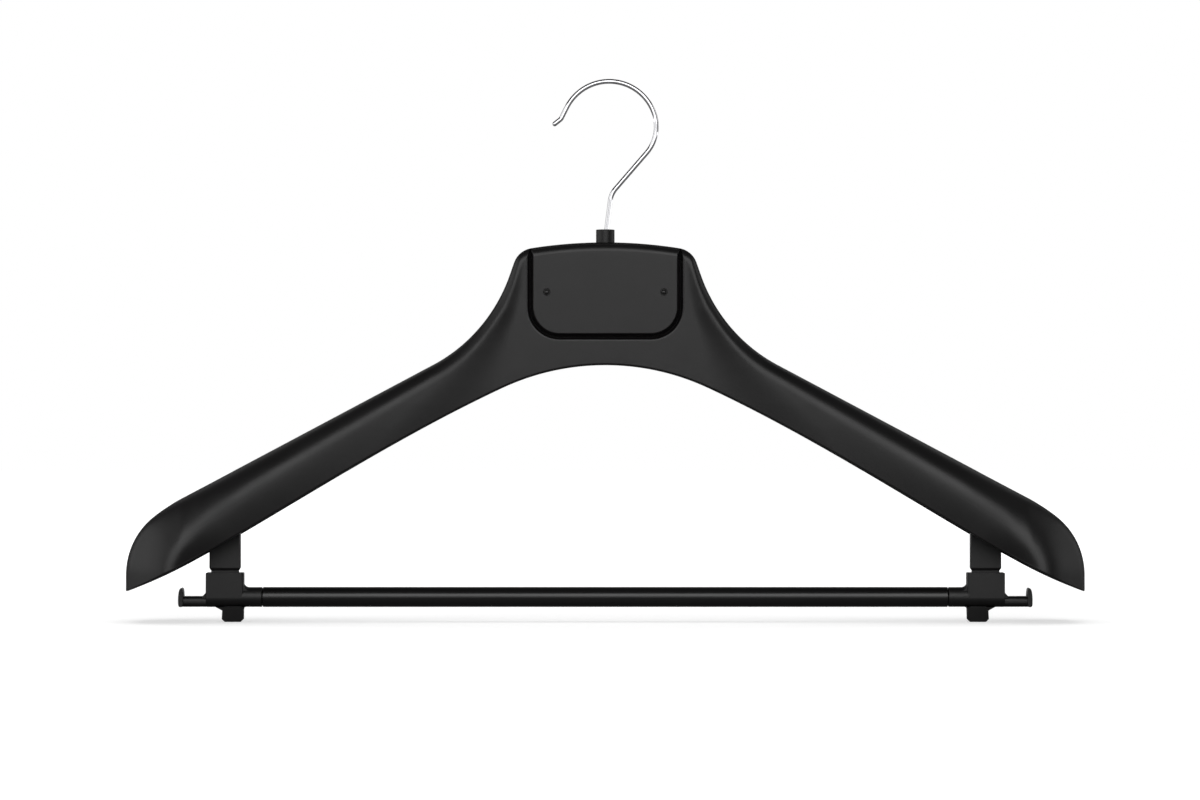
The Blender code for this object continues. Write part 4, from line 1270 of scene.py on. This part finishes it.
nub = slab("nub", outline, peg_half_depth, 0.0)
edit(nub)
choose("verts", lambda v: v.co.z < nub_low + nub_chamfer + fit)
bpy.ops.transform.resize(value=(1, nub_taper, 1), center_override=(inner, 0, nub_low))
round_edges(on_rim, nub_trim, 3)
carve(bracket, settle(nub), "UNION")
low = (inner + root_inset, -root_half_depth, under_z - root_sink)
root = box("root", low, (nub_edge - root_inset, root_half_depth, bar_axis - 2 * root_sink))
carve(bracket, root, "UNION")
print(f"nub reaches {(nub_low - bar_axis) * 1000:.1f} mm from the bar's axis")

# %% Slot for the leg's tongue and bore for the bar's spigot
slot_gap = 0.0002
slot_low = (leg_x - tongue_half_width - slot_gap, -tongue_half_depth - slot_gap, leg_low.z - fit)
slot_high = (leg_x + tongue_half_width + slot_gap, tongue_half_depth + slot_gap, bracket_top + overrun)
carve(bracket, box("slot", slot_low, slot_high))
spigot = 0.0026
bore_profile = [(centre_radius, sleeve_end - overrun), (spigot + fit, sleeve_end - overrun)]
bore_profile += [(spigot + fit, bar_high.x + fit), (centre_radius, bar_high.x + fit)]
carve(bracket, turned("bore", bore_profile, "X", (0, 0, bar_axis), 48))
join_flats(bracket)
shade(bracket, 28, 100)
bracket_left = mirror_copy(bracket, "end_bracket_left")
shade(bracket_left, 28, 100)

# %% [markdown]
# ## The trouser bar
#
# The bar is a round rod with a thin spigot at each end, free to turn in the sleeves. It is
# turned in one go from spigot to spigot, with a finely broken edge at each shoulder.

# %% Bar
bar_half = sleeve_end - fit
bar_edge = 0.0004
centre_mark = 0.0003
right_half = rounded((bar_radius, bar_half), bar_edge, 1) + [(spigot, bar_half)]
right_half += rounded((spigot, bar_high.x), bar_edge, 1) + [(centre_mark, bar_high.x)]
profile = [(r, -h) for r, h in reversed(right_half)] + right_half
bar = turned("round_bar", profile, "X", (0, 0, bar_axis), 96)
shade(bar)

# %% [markdown]
# ## Finishes
#
# Black plastic is never one flat black. The mould leaves a fine grain, the melt leaves faint
# cloudy flow marks, and handling rubs the gloss up a little here and there. Each plastic below
# has these three, in its own measure: a bump for the grain, a noise for the gloss, and a
# second, slower noise for the tone. All patterns stand on Object coordinates, in metres, so
# that they keep their real scale and stay with the piece when it moves.

# %% Material helpers
def wire_up(material, source, target):
    """Join the output socket of one node to the input socket of another."""
    material.node_tree.links.new(source, target)


def noise(material, scale, detail, stretch=(1, 1, 1)):
    """Noise on Object coordinates, stretched along an axis for drawn or rubbed lines."""
    nodes = material.node_tree.nodes
    place = nodes.new("ShaderNodeTexCoord")
    mapping = nodes.new("ShaderNodeMapping")
    mapping.inputs["Scale"].default_value = stretch
    texture = nodes.new("ShaderNodeTexNoise")
    texture.inputs["Scale"].default_value = scale
    texture.inputs["Detail"].default_value = detail
    wire_up(material, place.outputs["Object"], mapping.inputs["Vector"])
    wire_up(material, mapping.outputs["Vector"], texture.inputs["Vector"])
    return texture.outputs["Fac"]


def between(material, value, low, high):
    """Turn a noise into a number between two limits."""
    spread = material.node_tree.nodes.new("ShaderNodeMapRange")
    spread.inputs["From Min"].default_value = 0.3
    spread.inputs["From Max"].default_value = 0.7
    spread.inputs["To Min"].default_value = low
    spread.inputs["To Max"].default_value = high
    wire_up(material, value, spread.inputs["Value"])
    return spread.outputs["Result"]


def tone(material, value, dark, light):
    """Turn a noise into a colour between two tones."""
    mix = material.node_tree.nodes.new("ShaderNodeMix")
    mix.data_type = "RGBA"
    mix.inputs["A"].default_value = (*dark, 1)
    mix.inputs["B"].default_value = (*light, 1)
    wire_up(material, value, mix.inputs["Factor"])
    return mix.outputs["Result"]


def relief(material, value, depth):
    """Bump of a real depth in metres."""
    bump = material.node_tree.nodes.new("ShaderNodeBump")
    bump.inputs["Strength"].default_value = 1.0
    bump.inputs["Distance"].default_value = depth
    wire_up(material, value, bump.inputs["Height"])
    return bump.outputs["Normal"]


def new_finish(name):
    """Fresh material and its Principled shader."""
    material = bpy.data.materials.new(name)
    material.use_nodes = True
    return material, material.node_tree.nodes["Principled BSDF"]


# %% Plastics
grain_size = 0.00035
flow_size = 0.035


def plastic(name, colour, roughness, specular, grain_depth, stretch=(1, 1, 1)):
    """Moulded black plastic with grain, uneven gloss and faint flow marks."""
    material, shader = new_finish(name)
    dark = tuple(c * 0.86 for c in colour)
    light = tuple(c * 1.14 for c in colour)
    flow = between(material, noise(material, 1 / flow_size, 3, stretch), 0, 1)
    wire_up(material, tone(material, flow, dark, light), shader.inputs["Base Color"])
    rub = noise(material, 1 / (flow_size / 3), 4, stretch)
    gloss = between(material, rub, roughness * 0.94, roughness * 1.06)
    wire_up(material, gloss, shader.inputs["Roughness"])
    grain = noise(material, 1 / grain_size, 2, stretch)
    wire_up(material, relief(material, grain, grain_depth), shader.inputs["Normal"])
    shader.inputs["Specular IOR Level"].default_value = specular
    return material


black = (0.0066, 0.0062, 0.0064)
body_plastic = plastic("body_satin_black", black, 0.40, 0.44, 0.000010)
panel_plastic = plastic("panel_satin_black", (0.0072, 0.0068, 0.0070), 0.36, 0.40, 0.000010)
collar_plastic = plastic("collar_satin_black", black, 0.38, 0.36, 0.000006)
pin_plastic = plastic("stud_black", black, 0.30, 0.50, 0.000004)
leg_plastic = plastic("leg_satin_black", (0.0062, 0.0058, 0.0060), 0.44, 0.49, 0.000008)
bracket_plastic = plastic("bracket_matt_black", black, 0.46, 0.48, 0.000010)
bar_plastic = plastic("bar_glossy_black", (0.0064, 0.0061, 0.0063), 0.27, 0.50, 0.000004, (0.04, 1, 1))
print("plastics: body, panel, collar, studs, legs, brackets and bar")

# %% [markdown]
# The hook is bright chromed wire. Chrome over drawn wire keeps faint lines from the die along
# its length and a few cloudy spots in its polish. The washer under the boss is plainer steel,
# with the marks of the stamping tool.

# %% Metals
cloud_scale = 220
polish_scale = 900


def metal(name, colour, roughness, line_depth, scale):
    """Bare or plated metal with fine lines and a little uneven polish."""
    material, shader = new_finish(name)
    shader.inputs["Metallic"].default_value = 1.0
    dark = tuple(c * 0.95 for c in colour)
    cloud = between(material, noise(material, cloud_scale, 2), 0, 1)
    wire_up(material, tone(material, cloud, dark, colour), shader.inputs["Base Color"])
    polish = between(material, noise(material, polish_scale, 3), roughness * 0.7, roughness * 1.4)
    wire_up(material, polish, shader.inputs["Roughness"])
    lines = noise(material, scale, 2, (1, 1, 0.15))
    wire_up(material, relief(material, lines, line_depth), shader.inputs["Normal"])
    return material


chrome = metal("bright_chrome", (0.86, 0.86, 0.88), 0.05, 0.0000010, 2600)
steel = metal("stamped_steel", (0.58, 0.58, 0.60), 0.28, 0.000004, 1800)
print("metals: chrome for the hook, steel for the washer")

# %% Dress the pieces
dress(shell, "hanger", ["hanger_body"], body_plastic)
dress(panel, "hanger", ["front_panel"], panel_plastic)
dress(stud_left, "hanger", ["panel_pin_left"], pin_plastic)
dress(stud_right, "hanger", ["panel_pin_right"], pin_plastic)
dress(collar, "hanger", ["hook_collar"], collar_plastic)
dress(leg_left, "hanger", ["leg_left"], leg_plastic)
dress(leg_right, "hanger", ["leg_right"], leg_plastic)
dress(bracket_left, "hanger", ["bracket_left"], bracket_plastic)
dress(bracket, "hanger", ["bracket_right"], bracket_plastic)
dress(bar, "bar", ["trouser_bar"], bar_plastic)
dress(wire, "hook", ["hook_wire"], chrome)
dress(washer, "hook", ["hook_washer"], steel)

# %% [markdown]
# ## Floor, light and camera
#
# The hanger stands on a white paper sweep. The paper's white comes from a glow that lights
# nothing, because only the camera and mirror rays see it. Its plain grey part keeps the soft
# shadow. In reflections the glow starts some way out and grows with the distance, because
# close under the hanger the real paper lies in the hanger's own shade. For the same reason all
# rays but the camera's find a much darker grey.

# %% White paper floor
floor_z = bracket_low.z
floor_glow = 0.56
far_glow = 1.05
floor_grey = 0.50
unseen_grey = 0.15
half_rest = 0.2
glow_start = 0.25
glow_full = 0.75
mirror_start = 0.8
mirror_full = 2.4

pick_nothing()
bpy.ops.mesh.primitive_plane_add(size=8, location=(0, 0, floor_z))
floor = settle(added("paper_floor"))
paper = bpy.data.materials.new("white_paper")
paper.use_nodes = True
paper.node_tree.nodes.clear()
node = paper.node_tree.nodes.new
place = node("ShaderNodeTexCoord")
split = node("ShaderNodeSeparateXYZ")
wire_up(paper, place.outputs["Object"], split.inputs["Vector"])


def maths(material, operation, first, second=0.0, clamp=False):
    """One sum on sockets or plain numbers."""
    item = material.node_tree.nodes.new("ShaderNodeMath")
    item.operation = operation
    item.use_clamp = clamp
    for socket, value in zip(item.inputs, (first, second)):
        if isinstance(value, (int, float)):
            socket.default_value = value
        else:
            material.node_tree.links.new(value, socket)
    return item.outputs[0]


def rise(distance, start, end):
    """Share of the way from start to end, held within 0 and 1."""
    return maths(paper, "DIVIDE", maths(paper, "SUBTRACT", distance, start), end - start, clamp=True)


def seen_by(material, rays, share):
    """1 for camera rays, and a share for mirror and glass rays."""
    glossy, through = rays.outputs["Is Glossy Ray"], rays.outputs["Is Transmission Ray"]
    reflected = maths(material, "MULTIPLY", maths(material, "MAXIMUM", glossy, through), share)
    return maths(material, "MAXIMUM", rays.outputs["Is Camera Ray"], reflected)


grain = noise(paper, 400, 2)
rays = node("ShaderNodeLightPath")
size_x, size_y = (maths(paper, "ABSOLUTE", split.outputs[axis]) for axis in "XY")
along = maths(paper, "MAXIMUM", maths(paper, "SUBTRACT", size_x, half_rest), 0)
squares = (maths(paper, "POWER", size, 2) for size in (along, size_y))
away = maths(paper, "SQRT", maths(paper, "ADD", *squares))
growth = maths(paper, "MULTIPLY", rise(away, glow_start, glow_full), far_glow - floor_glow)
brightness = maths(paper, "ADD", floor_glow, growth)
seen = seen_by(paper, rays, rise(away, mirror_start, mirror_full))
glow = node("ShaderNodeEmission")
wire_up(paper, maths(paper, "MULTIPLY", seen, brightness), glow.inputs["Strength"])
grey = node("ShaderNodeBsdfDiffuse")
lit = tone(paper, grain, (floor_grey * 0.99,) * 3, (floor_grey * 1.01,) * 3)
dim = node("ShaderNodeMix")
dim.data_type = "RGBA"
dim.inputs["A"].default_value = (*(unseen_grey,) * 3, 1)
wire_up(paper, lit, dim.inputs["B"])
wire_up(paper, rays.outputs["Is Camera Ray"], dim.inputs["Factor"])
wire_up(paper, dim.outputs["Result"], grey.inputs["Color"])
both = node("ShaderNodeAddShader")
wire_up(paper, grey.outputs[0], both.inputs[0])
wire_up(paper, glow.outputs[0], both.inputs[1])
out = node("ShaderNodeOutputMaterial")
wire_up(paper, both.outputs[0], out.inputs["Surface"])
floor.data.materials.append(paper)
floor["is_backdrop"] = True
print(f"paper at {floor_z * 1000:.1f} mm")

# %% [markdown]
# A black satin thing shows its shape only by what it reflects. One wide soft box stands high
# in front, a card stands behind the camera, soft boxes stand at the sides, and a weak box and
# a card behind keep the back from going dead. Nothing that lights the hanger hangs straight
# above, so that the top faces stay dark and the ridge below them catches the light. The one
# lamp above lights the paper alone, for the soft shadow.

# %% Soft boxes and cards
middle = Vector((0.0, 0.0, -0.16))


def softbox(name, azimuth, elevation, distance, width, height, brightness):
    """Area lamp seen from the hanger at an azimuth from the front and an elevation."""
    lamp = bpy.data.lights.new(name, "AREA")
    lamp.shape = "RECTANGLE"
    lamp.size = width
    lamp.size_y = height
    lamp.energy = brightness * width * height * math.pi
    item = bpy.data.objects.new(name, lamp)
    bpy.context.scene.collection.objects.link(item)
    turn, lift = math.radians(azimuth), math.radians(elevation)
    way = Vector((math.sin(turn) * math.cos(lift), -math.cos(turn) * math.cos(lift), math.sin(lift)))
    item.location = middle + way * distance
    item.rotation_euler = (-way).to_track_quat("-Z", "Y").to_euler()
    item.visible_camera = False
    return item


softbox("key", 3, 24, 1.7, 1.7, 0.85, 2.75)
softbox("front_card", 0, -1, 2.5, 3.4, 0.9, 0.95)
softbox("left_box", -78, 14, 1.6, 2.4, 1.3, 1.0)
softbox("right_box", 97, 14, 1.6, 1.25, 1.3, 0.70)
softbox("back_box", 180, 30, 1.8, 1.9, 0.6, 0.35)
softbox("back_card", 180, 1, 2.2, 2.6, 0.7, 0.7)

# %% Lamp above the paper, for the soft shadow under the hanger
paper_light = softbox("paper_light", 0, 90, 1.3, 1.7, 1.7, 2.1)
lit_only = bpy.data.collections.new("lit_paper")
lit_only.objects.link(floor)
paper_light.light_linking.receiver_collection = lit_only

# %% White backdrop and dim room
backdrop_edge = 0.98
backdrop_steepness = 50.0
room_grey = 0.06
world = bpy.data.worlds.new("studio")
bpy.context.scene.world = world
world.use_nodes = True
world.node_tree.nodes.clear()
node = world.node_tree.nodes.new
rays = node("ShaderNodeLightPath")
way = node("ShaderNodeTexCoord")
split = node("ShaderNodeSeparateXYZ")
wire_up(world, way.outputs["Generated"], split.inputs["Vector"])
past_edge = maths(world, "SUBTRACT", split.outputs["Y"], backdrop_edge)
behind = maths(world, "MULTIPLY", past_edge, backdrop_steepness, clamp=True)
seen = seen_by(world, rays, behind)
room = node("ShaderNodeBackground")
room.inputs["Color"].default_value = (*(room_grey,) * 3, 1)
backdrop = node("ShaderNodeBackground")
backdrop.inputs["Color"].default_value = (1, 1, 1, 1)
switch = node("ShaderNodeMixShader")
wire_up(world, seen, switch.inputs["Fac"])
wire_up(world, room.outputs[0], switch.inputs[1])
wire_up(world, backdrop.outputs[0], switch.inputs[2])
out = node("ShaderNodeOutputWorld")
wire_up(world, switch.outputs[0], out.inputs["Surface"])

# %% Camera
pixel = 0.0004712
photo_width = 1200
camera_distance = 1.9
view_x, view_z = -0.0025, -0.149
camera_data = bpy.data.cameras.new("camera")
camera = bpy.data.objects.new("camera", camera_data)
bpy.context.scene.collection.objects.link(camera)
camera_data.sensor_width = 36.0
camera_data.lens = camera_data.sensor_width * camera_distance / (photo_width * pixel)
camera.location = (view_x, -camera_distance, view_z)
camera.rotation_euler = (math.pi / 2, 0, 0)
bpy.context.scene.camera = camera
bpy.context.scene.view_settings.view_transform = "Standard"
print(f"camera {camera_distance} m away, lens {camera_data.lens:.1f} mm")

# %% Measure the CAD and the dressed sizes
visual_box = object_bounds()
for name, (low, high) in (("CAD", cad_box), ("visual", visual_box)):
    print(name, [round(1000 * (b - a), 2) for a, b in zip(low, high)])
